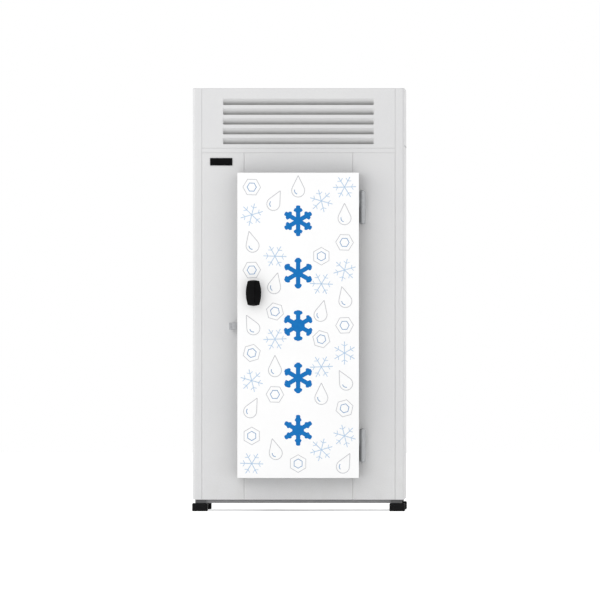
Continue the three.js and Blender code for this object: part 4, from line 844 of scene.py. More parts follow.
@dataclass(frozen=True)
class PrintFilm:
    """White film laid over the door's sheet, smoother and whiter than the paint."""

    colour: Point = (254, 254, 254)

    def material(self) -> Material:
        """The finish as a material.

        Returns:
            The material.
        """
        ink = Palette("print_film", Specular_IOR_Level=0.35)
        base = ink.ramp(ink.noise(3.1, 3.0), shifted(self.colour, -2), self.colour)
        gloss = ink.range(ink.noise(30.0, 3.0), 0.34, 0.44)
        return ink.finished(base, gloss, (ink.noise(240.0, 2.0), 0.035, 0.2 * MM),
                            (ink.noise(5.0, 0.0), 0.02, 1.0 * MM))


@dataclass(frozen=True)
class PrintInk:
    """Ink on the film: a colour with the faint mottle of a printed solid."""

    name: str
    colour: Point
    mottle: int = 6

    def material(self) -> Material:
        """The finish as a material.

        Returns:
            The material.
        """
        ink = Palette(self.name, Specular_IOR_Level=0.12)
        base = ink.ramp(ink.noise(60.0, 4.0), self.colour, shifted(self.colour, self.mottle), 0.35)
        gloss = ink.range(ink.noise(90.0, 2.0), 0.36, 0.46)
        return ink.finished(base, gloss, (ink.noise(700.0, 1.0), 0.04, 0.1 * MM))


@dataclass(frozen=True)
class MouldedPlastic:
    """Injection-moulded plastic with a fine spark-eroded grain."""

    name: str
    colour: Point
    roughness: float = 0.42
    grain: float = 1500.0
    shine: float = 0.1
    mottle: int = 7

    def material(self) -> Material:
        """The finish as a material.

        Returns:
            The material.
        """
        ink = Palette(self.name, Specular_IOR_Level=self.shine)
        base = ink.ramp(ink.noise(35.0, 4.0), self.colour, shifted(self.colour, self.mottle))
        gloss = ink.range(ink.noise(60.0, 3.0), self.roughness - 0.05, self.roughness + 0.08)
        return ink.finished(base, gloss, (ink.noise(self.grain, 2.0), 0.12, 0.12 * MM),
                            (ink.noise(45.0, 1.0), 0.03, 0.4 * MM))


@dataclass(frozen=True)
class PlatedMetal:
    """Bare or plated metal with clouding, rubbed lines along one axis and fine scratches."""

    name: str
    low: Point
    high: Point
    roughness: tuple[float, float] = (0.3, 0.45)
    grain: Point = (1.0, 1.0, 0.05)
    cloud: float = 40.0
    metallic: float = 1.0

    def material(self) -> Material:
        """The finish as a material.

        Returns:
            The material.
        """
        ink = Palette(self.name, Metallic=self.metallic)
        base = ink.ramp(ink.noise(self.cloud, 4.0), self.low, self.high)
        lines = ink.noise(900.0, 2.0, self.grain)
        base = ink.blend(0.35, base, ink.ramp(lines, self.low, self.high, 0.35, 0.65))
        gloss = ink.range(lines, *self.roughness)
        return ink.finished(base, gloss, (lines, 0.1, 0.06 * MM), (ink.noise(120.0, 2.0), 0.03, 0.15 * MM))


@dataclass(frozen=True)
class Galvanised:
    """Hot-dip zinc with its spangle."""

    spangles: float = 90.0

    def material(self) -> Material:
        """The finish as a material.

        Returns:
            The material.
        """
        ink = Palette("galvanised", Metallic=0.85)
        grey = ink.cells(self.spangles)
        base = ink.ramp(grey, (150, 154, 157), (186, 190, 192), 0.2, 0.8)
        gloss = ink.range(grey, 0.42, 0.62, 0.2, 0.8)
        return ink.finished(base, gloss, (grey, 0.05, 0.1 * MM), (ink.noise(500.0, 2.0), 0.05, 0.08 * MM))


@dataclass(frozen=True)
class Enamel:
    """Black stoving enamel with settled dust on what looks up."""

    dust: Point = (112, 108, 102)

    def material(self) -> Material:
        """The finish as a material.

        Returns:
            The material.
        """
        ink = Palette("black_enamel", Coat_Weight=0.4, Coat_Roughness=0.15)
        base = ink.ramp(ink.noise(22.0, 4.0), (17, 17, 18), (27, 27, 28))
        way = ink.node("TexCoord", {}).outputs["Normal"]
        lie = ink.range(ink.part(way, Axis.Z), 0.0, 0.28, 0.55, 1.0)
        base = ink.blend(lie, base, linear(self.dust))
        gloss = ink.range(ink.noise(45.0, 3.0), 0.26, 0.42)
        return ink.finished(base, gloss, (ink.noise(380.0, 2.0), 0.07, 0.2 * MM))


@dataclass(frozen=True)
class SealRubber:
    """Soft grey-white vinyl of the door seal."""

    low: Point = (196, 197, 198)
    high: Point = (212, 213, 213)

    def material(self) -> Material:
        """The finish as a material.

        Returns:
            The material.
        """
        ink = Palette("seal_rubber", Sheen_Weight=0.15, Sheen_Roughness=0.5)
        base = ink.ramp(ink.noise(28.0, 5.0), self.low, self.high)
        gloss = ink.range(ink.noise(70.0, 3.0), 0.55, 0.72)
        return ink.finished(base, gloss, (ink.noise(800.0, 2.0), 0.08, 0.1 * MM),
                            (ink.noise(60.0, 2.0), 0.04, 0.4 * MM))


@dataclass(frozen=True)
class RigidFoam:
    """Cut polyurethane foam, cream, with open cells."""

    cells: float = 700.0

    def material(self) -> Material:
        """The finish as a material.

        Returns:
            The material.
        """
        ink = Palette("rigid_foam")
        grey = ink.cells(self.cells)
        base = ink.ramp(grey, (206, 186, 138), (230, 214, 172), 0.2, 0.8)
        gloss = ink.range(ink.noise(50.0, 2.0), 0.82, 0.95)
        return ink.finished(base, gloss, (grey, 0.25, 0.5 * MM))


@dataclass(frozen=True)
class LampLens:
    """Opal prismatic lens of the lamp."""

    ribs: float = 55.0

    def material(self) -> Material:
        """The finish as a material.

        Returns:
            The material.
        """
        ink = Palette("lamp_lens", Coat_Weight=0.3, Coat_Roughness=0.1, Subsurface_Weight=0.25)
        ribs = ink.node("TexWave", {"Vector": ink.place, "Scale": self.ribs, "Distortion": 0.0},
                        bands_direction="X").outputs["Fac"]
        base = ink.ramp(ink.noise(25.0, 3.0), (232, 232, 226), (244, 244, 240))
        gloss = ink.range(ink.noise(60.0, 2.0), 0.2, 0.3)
        return ink.finished(base, gloss, (ribs, 0.3, 0.8 * MM))


class Finishes:
    """Every finish of the object, made once."""

    def __init__(self) -> None:
        """Makes the materials."""
        self.white = PowderCoat().material()
        self.louvre = LouvreCoat().material()
        self.inside_white = PowderCoat("inside_coat", (236, 237, 238), 0.44, 520.0).material()
        self.film = PrintFilm().material()
        self.blue = PrintInk("ink_blue", (15, 112, 186)).material()
        self.grey_line = PrintInk("ink_grey", (196, 197, 200)).material()
        self.pale_line = PrintInk("ink_pale_blue", (178, 202, 226)).material()
        self.deep_line = PrintInk("ink_line_blue", (112, 152, 192)).material()
        self.black = MouldedPlastic("black_plastic", (13, 13, 14)).material()
        self.grip = MouldedPlastic("grip_black", (8, 8, 9), 0.38, 1200.0, 0.05).material()
        self.badge = MouldedPlastic("badge_black", (8, 8, 9), 0.3, 900.0, 0.05).material()
        self.liner = MouldedPlastic("liner_plastic", (232, 233, 230), 0.46, 1100.0, 0.3, 3).material()
        self.base = PowderCoat("base_coat", (146, 146, 147), 0.5, 380.0).material()
        # painted shade: a darker coat for the base frame's corner sockets under the posts
        self.socket = PowderCoat("socket_shade_coat", (106, 106, 107), 0.55, 340.0).material()
        self.edge = PowderCoat("leaf_edge_coat", (116, 117, 118), 0.5, 400.0).material()
        self.hinge = PlatedMetal("hinge_steel", (174, 176, 178), (192, 194, 196), (0.36, 0.48),
                                 (1, 1, 0.06), metallic=0.3).material()
        self.dull = PlatedMetal("dull_zinc", (176, 177, 179), (196, 197, 199), (0.5, 0.62),
                                (1, 0.1, 1), metallic=0.4).material()
        self.zinc = PlatedMetal("zinc_plate", (164, 166, 168), (190, 192, 194), (0.3, 0.42),
                                (1, 1, 0.06)).material()
        self.stainless = PlatedMetal("stainless", (168, 170, 172), (192, 194, 196), (0.24, 0.36),
                                     (0.04, 1, 1)).material()
        self.fins = PlatedMetal("fin_stock", (176, 178, 180), (200, 202, 204), (0.34, 0.46),
                                (1, 1, 0.1)).material()
        self.copper = PlatedMetal("copper", (164, 92, 58), (204, 128, 88), (0.26, 0.44),
                                  (1, 1, 1), 30.0).material()
        self.enamel = Enamel().material()
        self.galvanised = Galvanised().material()
        self.seal = SealRubber().material()
        self.foam = RigidFoam().material()
        self.lens = LampLens().material()


# ---------------------------------------------------------------- carcass and hood


@dataclass(frozen=True)
class Screw:
    """A pan-head screw with a cross recess."""

    radius: float = 4.2 * MM
    rise: float = 2.2 * MM
    slot_width: float = 1.1 * MM
    slot_depth: float = 1.2 * MM
    sunk: float = 0.5 * MM
    sides: int = 20
    stagger: float = 23.0

    def pattern(self) -> Workpiece:
        """Models the screw's head at the origin, looking up Z.

        Returns:
            The head.
        """
        profile = [(self.radius, -self.sunk),
                   *scaled([(1.0, 0.35), (0.86, 0.78), (0.5, 1.0)], self.radius, self.rise)]
        head = Workpiece.turned("screw", (0, 0, 0), UP, profile, self.sides)
        reach, half = 0.62 * self.radius, self.slot_width / 2
        low, top = self.rise - self.slot_depth, 2 * self.rise
        for x, y in ((reach, half), (half, reach)):
            head.cut(Workpiece.block("recess", (-x, -y, low), (x, y, top)))
        return head.smooth(30)

    def set(self, name: str, places: Sequence[tuple[Point, Vector]], finish: Material, body: str) -> None:
        """Sets screws at many places, in one object.

        Args:
            name: The object's name.
            places: Where each head sits and which way it looks.
            finish: Their material.
            body: The body they ride on.
        """
        turns = []
        for i, (spot, way) in enumerate(places):
            turn = way.to_track_quat("Z", "Y").to_matrix().to_4x4()
            spin = Matrix.Rotation(math.radians(self.stagger * i), 4, "Z")
            turns.append(Matrix.Translation(Vector(spot)) @ turn @ spin)
        self.pattern().repeated(name, turns).fit(finish, body, "zinc")


@dataclass
class Carcass:
    """Base, feet, posts and foamed panels."""

    finishes: Finishes
    post_radius: float = 15 * MM
    post_steps: int = 12
    seam_radius: float = 2.2 * MM
    panel_edge: float = 0.8 * MM
    head_radius: float = 1.8 * MM
    sill_edge: float = 0.9 * MM
    base_edge: float = 0.7 * MM
    foot_top_radius: float = 6 * MM
    foot_bottom_radius: float = 12 * MM
    foot_band: tuple[float, float] = (0.48, 0.54)
    foot_band_depth: float = 0.6 * MM
    socket_width: float = 55.5 * MM
    body: str = "cabinet"

    def build(self) -> None:
        """Makes and dresses every piece of the carcass."""
        for depth, back in (("front", False), ("rear", True)):
            for hand, right in (("left", False), ("right", True)):
                self.post(f"{depth}_post_{hand}", back, right)
        self.panels()
        for place in ("front_left", "front_right", "rear_left", "rear_right"):
            self.foot(f"foot_{place}")
        self.base()

    def post(self, node: str, back: bool, right: bool) -> None:
        """A corner post, with a large outer radius and folded seams.

        Args:
            node: The post's node.
            back: Whether it stands at the rear.
            right: Whether it stands on the right.
        """
        low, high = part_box(node)
        corner = Vector((high.x if right else low.x, high.y if back else low.y))

        def away(middle: Vector) -> float:
            """How far an edge stands from the cabinet's corner."""
            return (middle.xy - corner).length

        post = Workpiece.block(f"{node}_formed", low, high)
        upright = along(UP)
        post.bevel(lambda middle, way: upright(middle, way) and away(middle) < NEAR,
                   self.post_radius, self.post_steps)
        post.bevel(lambda middle, way: upright(middle, way) and away(middle) > 1.5 * self.post_radius,
                   self.seam_radius)
        post.smooth(20).fit(self.finishes.white, self.body, "white_paint", [node])

    def panels(self) -> None:
        """The wall panels, with soft folds, the floor, the ceiling and the sill."""
        white = self.finishes.white
        for node in ("front_panel_left", "front_panel_right", "side_panel_left", "side_panel_right",
                     "rear_panel", "door_frame_panel"):
            low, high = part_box(node)
            panel = Workpiece.copy_of(node, "formed")
            if node.startswith(("front", "door")):
                panel.bevel(lambda spot, way: abs(way.x) > PARALLEL and spot.y < low.y + ON_PLANE
                            and spot.z > high.z - ON_PLANE, self.head_radius, 4)
            panel.soften(self.panel_edge, 2, 25).smooth(30).fit(white, self.body, "white_paint", [node])
        for node in ("floor_panel", "ceiling_panel"):
            rework(node, "formed", self.finishes.inside_white, "white_paint", self.panel_edge, shade=30)
        rework("door_sill", "folded", self.finishes.stainless, "stainless", self.sill_edge, 3, shade=40)

    def foot(self, node: str) -> None:
        """A moulded foot: soft top, larger radius below, with a shallow band round the side.

        Args:
            node: The foot's node.
        """
        low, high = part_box(node)
        middle = (low + high) / 2
        height = high.z - low.z
        foot = Workpiece.block(f"{node}_moulded", low, high)
        foot.bevel(along(UP), self.foot_top_radius, 5)
        foot.bevel(lambda spot, way: spot.z < low.z + ON_PLANE, self.foot_bottom_radius, 6)
        foot.bevel(lambda spot, way: spot.z > high.z - ON_PLANE, self.foot_top_radius, 5)
        lower, upper = (low.z + share * height for share in self.foot_band)
        for level in (lower, upper):
            foot.slice((middle.x, middle.y, level), UP)
        foot.inset(lambda spot, way: abs(way.z) < 0.1 and lower < spot.z < upper,
                   self.foot_band_depth / 2, -self.foot_band_depth)
        foot.smooth(35).fit(self.finishes.black, self.body, "black_plastic", [node])

    def base(self) -> None:
        """The welded base frame, with painted shade darkening its corner sockets."""
        low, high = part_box("base_frame")
        width = self.socket_width

        def socket(spot: Vector, way: Vector) -> bool:
            """Whether a face lies at a corner socket."""
            return abs(spot.x) > high.x - width and not low.y + width < spot.y < high.y - width

        # the faces at the corner sockets take the darker coat, painted shade
        Workpiece.copy_of("base_frame", "welded").soften(self.base_edge).smooth(35).fit(
            self.finishes.base, self.body, "base_steel", ["base_frame"], [(self.finishes.socket, socket)])


@dataclass
class LouvredPanel:
    """A flanged sheet with pressed louvres, each with a curved blade and drawn ends, open below."""

    finishes: Finishes
    sheet: float = 2 * MM
    fold: float = 2.2 * MM
    rim: float = 0.6 * MM
    count: int = 5
    width: float = 787 * MM
    height: float = 32 * MM
    pitch: float = 51 * MM
    drop: float = 55 * MM
    corner: float = 6 * MM
    lap: float = 3 * MM
    start: float = 50.0
    end: float = 5.0
    steps: int = 8
    drawn: float = 9 * MM
    drawn_shares: tuple[float, ...] = (0, 0.08, 0.3, 0.6)
    blade: float = 1.6 * MM
    setback: float = 0.7 * MM
    # how far beyond the louvres the painted shade of the louvre coat reaches
    shade_margin: float = 1 * MM
    body: str = "cabinet"

    def build(self) -> None:
        """Makes the panel once and places it at the front and, turned round, at the back."""
        low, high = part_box("grille_panel")
        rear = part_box("hood_rear_panel")[1]
        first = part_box("top_cover")[1].z - self.drop - low.z
        tops = [first - i * self.pitch for i in range(self.count)]
        pattern = self.tray(high - low)
        for top in tops:
            pattern.cut(self.slot(top))
        pattern.soften(self.rim, 2, 28)
        blade = self.louvre()
        pattern.gather([blade.copied("blade", Matrix.Translation((0, self.setback, top))) for top in tops])
        blade.discard()
        middle = (low.x + high.x) / 2
        reach = self.width / 2 + self.shade_margin
        turned = Matrix.Rotation(math.pi, 4, "Z")
        front_place = Matrix.Translation((middle, low.y, low.z))
        rear_place = Matrix.Translation((middle, rear.y, low.z)) @ turned
        self.hang(pattern, "grille_panel", front_place, reach)
        self.hang(pattern, "hood_rear_panel", rear_place, reach)
        pattern.discard()

    def hang(self, pattern: Workpiece, node: str, place: Matrix, reach: float) -> None:
        """Hangs a copy of the panel in a node's stead, with painted shade on the louvres behind its face.

        Args:
            pattern: The panel at the origin.
            node: The node it stands for.
            place: Where it goes.
            reach: How far the louvres' faces go on either side of the middle.
        """
        at = place.translation
        # faces behind the panel's face take the louvre coat with its painted shade
        sunk = lambda spot, way: abs(spot.y - at.y) > self.setback and abs(spot.x - at.x) < reach
        pattern.copied(f"{node}_pressed", place).smooth(32).fit(
            self.finishes.white, self.body, "hood_paint", [node], [(self.finishes.louvre, sunk)])

    def tray(self, size: Vector) -> Workpiece:
        """The flanged sheet, its face at the origin's depth, looking forward.

        Args:
            size: Its width, depth and height.

        Returns:
            The sheet.
        """
        half = size.x / 2
        tray = Workpiece.block("tray", (-half, 0, 0), (half, size.y, size.z))
        tray.bevel(lambda spot, way: spot.y < ON_PLANE and spot.z < size.z - ON_PLANE, self.fold, 4)
        tray.inset(facing(BACK), self.sheet)
        inner = lambda spot, way: (
            way.y > SQUARE_ON and abs(spot.x) < NEAR and abs(spot.z - size.z / 2) < NEAR)
        return tray.push(inner, (0, self.sheet - size.y, 0))

    def slot(self, top: float) -> Workpiece:
        """The cutter of one slot, with rounded lower corners.

        Args:
            top: The height of the slot's top edge.

        Returns:
            The cutter.
        """
        half = self.width / 2
        cutter = Workpiece.block("slot", (-half, -self.sheet, top - self.height), (half, 2 * self.sheet, top))
        lower = lambda spot, way: abs(way.y) > PARALLEL and spot.z < top - self.height / 2
        return cutter.bevel(lower, self.corner, 4)

    def louvre(self) -> Workpiece:
        """One louvre below its slot's top edge: a plate cut into strips, each set back by the curve's depth.

        Returns:
            The louvre.
        """
        half, fall = self.width / 2, self.height + self.lap
        start, end = math.radians(self.start), math.radians(self.end)
        bend = fall / (math.sin(start) - math.sin(end))
        depth = bend * (math.cos(end) - math.cos(start))
        blade = Workpiece.block("louvre", (-half, 0, -fall), (half, depth, 0))
        blade.remove(lambda spot, way: way.y < SQUARE_ON)
        angles = [start + (end - start) * i / self.steps for i in range(self.steps + 1)]
        rows = [(-bend * (math.sin(start) - math.sin(angle)), bend * (math.cos(angle) - math.cos(start)))
                for angle in angles]
        columns = [(half - share * self.drawn, math.sqrt(1 - (1 - share) ** 2)) for share in self.drawn_shares]
        for z, _ in rows[1:-1]:
            blade.slice((0, 0, z), UP)
        for x in (*(x for x, _ in columns[1:]), half - self.drawn):
            blade.slice((x, 0, 0), RIGHT).slice((-x, 0, 0), RIGHT)
        for z, y in rows:
            blade.resize(lambda spot, way: abs(spot.z - z) < ON_PLANE / 2, (1, y / depth, 1))
        for x, share in columns:
            blade.resize(lambda spot, way: abs(abs(spot.x) - x) < ON_PLANE / 2, (1, share, 1))
        return blade.modify("SOLIDIFY", thickness=self.blade, offset=1.0)


@dataclass
class Hood:
    """The louvred hood, its lid and deck, and the blank plate beside the door."""

    finishes: Finishes
    sheet_edge: float = 0.5 * MM
    fold: float = 1.8 * MM
    lid_radius: float = 3.5 * MM
    lid_edge: float = 0.6 * MM
    plate_corner: float = 3 * MM
    plate_rim: float = 1.6 * MM
    plate_sink: float = 0.5 * MM
    screw_pitch: float = 0.32
    screw_inset: float = 12 * MM
    body: str = "cabinet"

    def build(self) -> None:
        """Makes and dresses every piece of the hood."""
        for node in ("hood_side_left", "hood_side_right"):
            rework(node, "pressed", self.finishes.white, "hood_paint", self.sheet_edge, shade=32)
        LouvredPanel(self.finishes).build()
        self.deck()
        self.lid()
        self.plate()
        self.screws()

    def deck(self) -> None:
        """The deck pan, its front flange folded with a fuller radius."""
        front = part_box("machine_deck")[0].y
        deck = Workpiece.copy_of("machine_deck", "folded")
        deck.bevel(lambda spot, way: abs(way.x) > PARALLEL and spot.y < front + ON_PLANE, self.fold, 4)
        deck.soften(self.sheet_edge).smooth(32).fit(
            self.finishes.white, self.body, "hood_paint", ["machine_deck"])

    def lid(self) -> None:
        """The lid with its rolled rim."""
        low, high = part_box("top_cover")

        def rim(spot: Vector, way: Vector) -> bool:
            """Whether an edge lies on the rim of the top."""
            sides = (spot.x - low.x, high.x - spot.x, spot.y - low.y, high.y - spot.y)
            return spot.z > high.z - ON_PLANE and min(sides) < ON_PLANE

        lid = Workpiece.copy_of("top_cover", "pressed").bevel(rim, self.lid_radius, 5).soften(self.lid_edge)
        lid.smooth(35).fit(self.finishes.white, self.body, "hood_paint", ["top_cover"])

    def plate(self) -> None:
        """The blank plate: a raised rim round a plain field."""
        low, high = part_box("badge_plate")
        middle = (low.x + high.x) / 2
        plate = Workpiece.block("badge_plate_moulded", low, high)
        plate.bevel(along(FRONT), self.plate_corner, 5)
        plate.inset(facing(FRONT), self.plate_rim)
        plate.inset(lambda spot, way: way.y < -SQUARE_ON and spot.y < low.y + LEVEL
                    and abs(spot.x - middle) < NEAR, self.plate_sink, -self.plate_sink)
        plate.smooth(30).fit(self.finishes.badge, self.body, "black_plastic", ["badge_plate"])

    def screws(self) -> None:
        """Screws along the foot of the hood's side and rear panels."""
        places = []
        for node, way in (("hood_side_left", LEFT), ("hood_side_right", RIGHT), ("hood_rear_panel", BACK)):
            low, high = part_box(node)
            across = 0 if way is BACK else 1
            face = low if way is LEFT else high
            start, end = low[across] + 3 * self.screw_inset, high[across] - 3 * self.screw_inset
            count = max(2, round((end - start) / self.screw_pitch) + 1)
            for i in range(count):
                spot = Vector((face.x, face.y, low.z + self.screw_inset))
                spot[across] = start + (end - start) * i / (count - 1)
                places.append((spot, way))
        Screw().set("hood_screws", places, self.finishes.zinc, self.body)


# ---------------------------------------------------------------- door


class Tone(Enum):
    """The inks of the thin lines."""

    GREY = "grey"
    PALE = "pale"
    DEEP = "deep"


@dataclass
class PrintDesign:
    """The leaf's print: bold crystal signs down the middle over thin line motifs in a half-drop grid."""

    finishes: Finishes
    film: float = 0.2 * MM
    bed: float = 0.15 * MM
    layer: float = 0.002 * MM
    sign_radius: float = 80 * MM
    sign_stroke: float = 23 * MM
    sign_heights: tuple[float, ...] = (1.510, 1.238, 0.966, 0.694, 0.422)
    sign_twigs: Steps = ((0.6, 0.3), (0.74, 0.24), (0.74, 0.3), (0.7, 0.28), (0.62, 0.22))
    sign_hubs: tuple[float, ...] = (0.0, 0.36, 0.5, 0.0, 0.44)
    sign_clearance: float = 130 * MM
    grip_clearance: float = 100 * MM
    stroke_corner: float = 0.32
    twig_angle: float = 60.0
    line: float = 4.0 * MM
    flake: float = 60 * MM
    plate: float = 48 * MM
    core: float = 26 * MM
    belly: float = 34 * MM
    waist: float = 18 * MM
    columns: int = 5
    rows: int = 11
    margin: float = 75 * MM
    body: str = "door"

    def build(self) -> None:
        """Makes the signs and the line motifs."""
        low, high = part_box("door_skin")
        middle = (low.x + high.x) / 2
        self.signs(middle, low.y)
        self.motifs(low, high, middle)

    def stroke(self, start: Point, end: Point, width: float, layer: int = 0) -> Workpiece:
        """A straight stroke, flat on the leaf, drawn about the origin in X and Z.

        Args:
            start: Where its middle line starts.
            end: Where its middle line ends.
            width: The stroke's width.
            layer: Its number among those that cross it, which all differ a little in thickness.

        Returns:
            The stroke.
        """
        first, last = Vector((start[0], 0, start[1])), Vector((end[0], 0, end[1]))
        way = last - first
        lift = layer * self.layer
        bar = Workpiece.block(
            "stroke", (-width / 2, -self.film - lift, 0), (width / 2, self.bed + lift, way.length))
        bar.bevel(along(FRONT), self.stroke_corner * width)
        return bar.placed(Matrix.Translation(first) @ Matrix.Rotation(math.atan2(way.x, way.z), 4, "Y"))

    def crystal(self, twig: tuple[float, float], radius: float, width: float, hub: float) -> Workpiece:
        """A six-armed crystal.

        Args:
            twig: Where a pair of twigs leaves each arm, and their length, as shares of the radius.
            radius: The arm's length.
            width: The stroke's width.
            hub: The radius of the six-sided middle, or nought.

        Returns:
            The crystal about the origin.
        """
        share, length = twig
        root, reach = share * radius, length * radius
        lean = math.radians(self.twig_angle)
        arms = []
        for i in range(6):
            arm = self.stroke((0, 0), (0, radius), width, i + 1)
            for side, layer in ((-1, 8), (1, 14)):
                tip = (side * reach * math.sin(lean), root + reach * math.cos(lean))
                arm.combine(self.stroke((0, root), tip, 0.8 * width, layer + i))
            arms.append(arm.placed(Matrix.Rotation(math.radians(60 * i), 4, "Y")))
        whole, *rest = arms
        for arm in rest:
            whole.combine(arm)
        if hub:
            face = -self.film - 7 * self.layer
            whole.combine(Workpiece.drum("hub", (0, face, 0), (0, -face, 0), hub, 6))
        return whole

    def signs(self, middle: float, front: float) -> None:
        """Five bold crystals, each of its own kind, down the middle of the leaf.

        Args:
            middle: The leaf's middle in X.
            front: The leaf's face in Y.
        """
        made = []
        for twig, hub, height in zip(self.sign_twigs, self.sign_hubs, self.sign_heights):
            sign = self.crystal(twig, self.sign_radius, self.sign_stroke, hub * self.sign_radius)
            made.append(sign.placed(Matrix.Translation((middle, front, height))))
        Workpiece.joined("print_crystal_signs", made).fit(self.finishes.blue, self.body, "door_film")

    def loop(self, radius: float, sides: int = 6) -> Workpiece:
        """A many-sided outline drawn with the thin line.

        Args:
            radius: Its outer radius.
            sides: How many sides it has.

        Returns:
            The outline about the origin.
        """
        loop = Workpiece.drum("loop", (0, -self.film, 0), (0, self.bed, 0), radius, sides)
        return loop.cut(Workpiece.drum("hole", (0, -1 * MM, 0), (0, 1 * MM, 0), radius - self.line, sides))

    def path(self, points: Sequence[Point]) -> Workpiece:
        """The thin line through points in X and Z.

        Args:
            points: The points.

        Returns:
            The line.
        """
        first, *rest = [self.stroke(start, end, self.line, layer)
                        for layer, (start, end) in enumerate(zip(points, points[1:]))]
        for other in rest:
            first.combine(other)
        return first

    def arc(self, radius: float, start: float, end: float, steps: int) -> list[Point]:
        """Points on an arc about the drop's middle, clockwise from the top.

        Args:
            radius: The arc's radius.
            start: Its first angle in degrees.
            end: Its last angle.
            steps: How many steps it has.

        Returns:
            The points.
        """
        angles = [math.radians(start + (end - start) * i / steps) for i in range(steps + 1)]
        return [(radius * math.sin(angle), radius * math.cos(angle) - self.waist) for angle in angles]

    def motifs(self, low: Vector, high: Vector, middle: float) -> None:
        """Thin line motifs of three kinds in a half-drop grid, in three inks.

        Args:
            low: The leaf's lowest corner.
            high: The leaf's highest corner.
            middle: The leaf's middle in X.
        """
        flake = self.crystal(self.sign_twigs[0], self.flake, self.line, 0.0)
        plate, core = self.loop(self.plate), self.loop(self.core)
        tip = (0, self.flake)
        drop = self.path([tip, *self.arc(self.belly, 64, 296, 14), tip])
        glint = self.path(self.arc(0.56 * self.belly, 195, 285, 4))
        kinds = (
            ((Tone.PALE, flake),),
            ((Tone.GREY, plate), (Tone.DEEP, core)),
            ((Tone.GREY, drop), (Tone.DEEP, glint)),
        )
        layers: dict[Tone, list[Workpiece]] = {tone: [] for tone in Tone}
        across = (high.x - low.x - 2 * self.margin) / (self.columns - 1)
        down = (high.z - low.z - 2 * self.margin) / (self.rows - 1)
        for column in range(self.columns):
            for row in range(self.rows - column % 2):
                x = low.x + self.margin + column * across
                z = low.z + self.margin + (row + 0.5 * (column % 2)) * down
                if self._taken(x - middle, x, z):
                    continue
                turn = math.radians(14 * ((row * 2 + column) % 5) - 28)
                place = Matrix.Translation((x, low.y, z)) @ Matrix.Rotation(turn, 4, "Y")
                for tone, pattern in kinds[(row + 2 * column) % 3]:
                    layers[tone].append(pattern.copied("motif", place))
        for pattern in (flake, plate, core, drop, glint):
            pattern.discard()
        inks = {Tone.GREY: self.finishes.grey_line, Tone.PALE: self.finishes.pale_line,
                Tone.DEEP: self.finishes.deep_line}
        for tone, pieces in layers.items():
            Workpiece.joined(f"print_{tone.value}_lines", pieces).fit(inks[tone], self.body, "door_film")

    def _taken(self, aside: float, x: float, z: float) -> bool:
        """Whether a motif would touch a sign or the grip.

        Args:
            aside: The motif's distance from the leaf's middle.
            x: Its place in X.
            z: Its height.

        Returns:
            Whether it would.
        """
        grip = centre_of("handle_rosette")
        near_sign = any(math.hypot(aside, z - height) < self.sign_clearance for height in self.sign_heights)
        return near_sign or math.hypot(x - grip.x, z - grip.z) < self.grip_clearance


@dataclass
class DoorLeaf:
    """The leaf: skin, liner, seal and core."""

    finishes: Finishes
    skin_edge: float = 1.0 * MM
    liner_edge: float = 2.5 * MM
    seal_edge: float = 1.0 * MM
    body: str = "door"

    def build(self) -> None:
        """Makes and dresses the leaf."""
        edges = [(self.finishes.edge, lambda spot, way: way.y > -0.5)]
        Workpiece.copy_of("door_skin", "folded").soften(self.skin_edge, 3).smooth(35).fit(
            self.finishes.film, self.body, "door_film", ["door_skin"], edges)
        rework("door_liner", "formed", self.finishes.liner, "liner_plastic", self.liner_edge, 4,
               limit=20, shade=50, body=self.body)
        rework("door_gasket", "extruded", self.finishes.seal, "gasket", self.seal_edge, 3,
               shade=50, body=self.body)
        dress("door_foam", self.finishes.foam)
        PrintDesign(self.finishes).build()


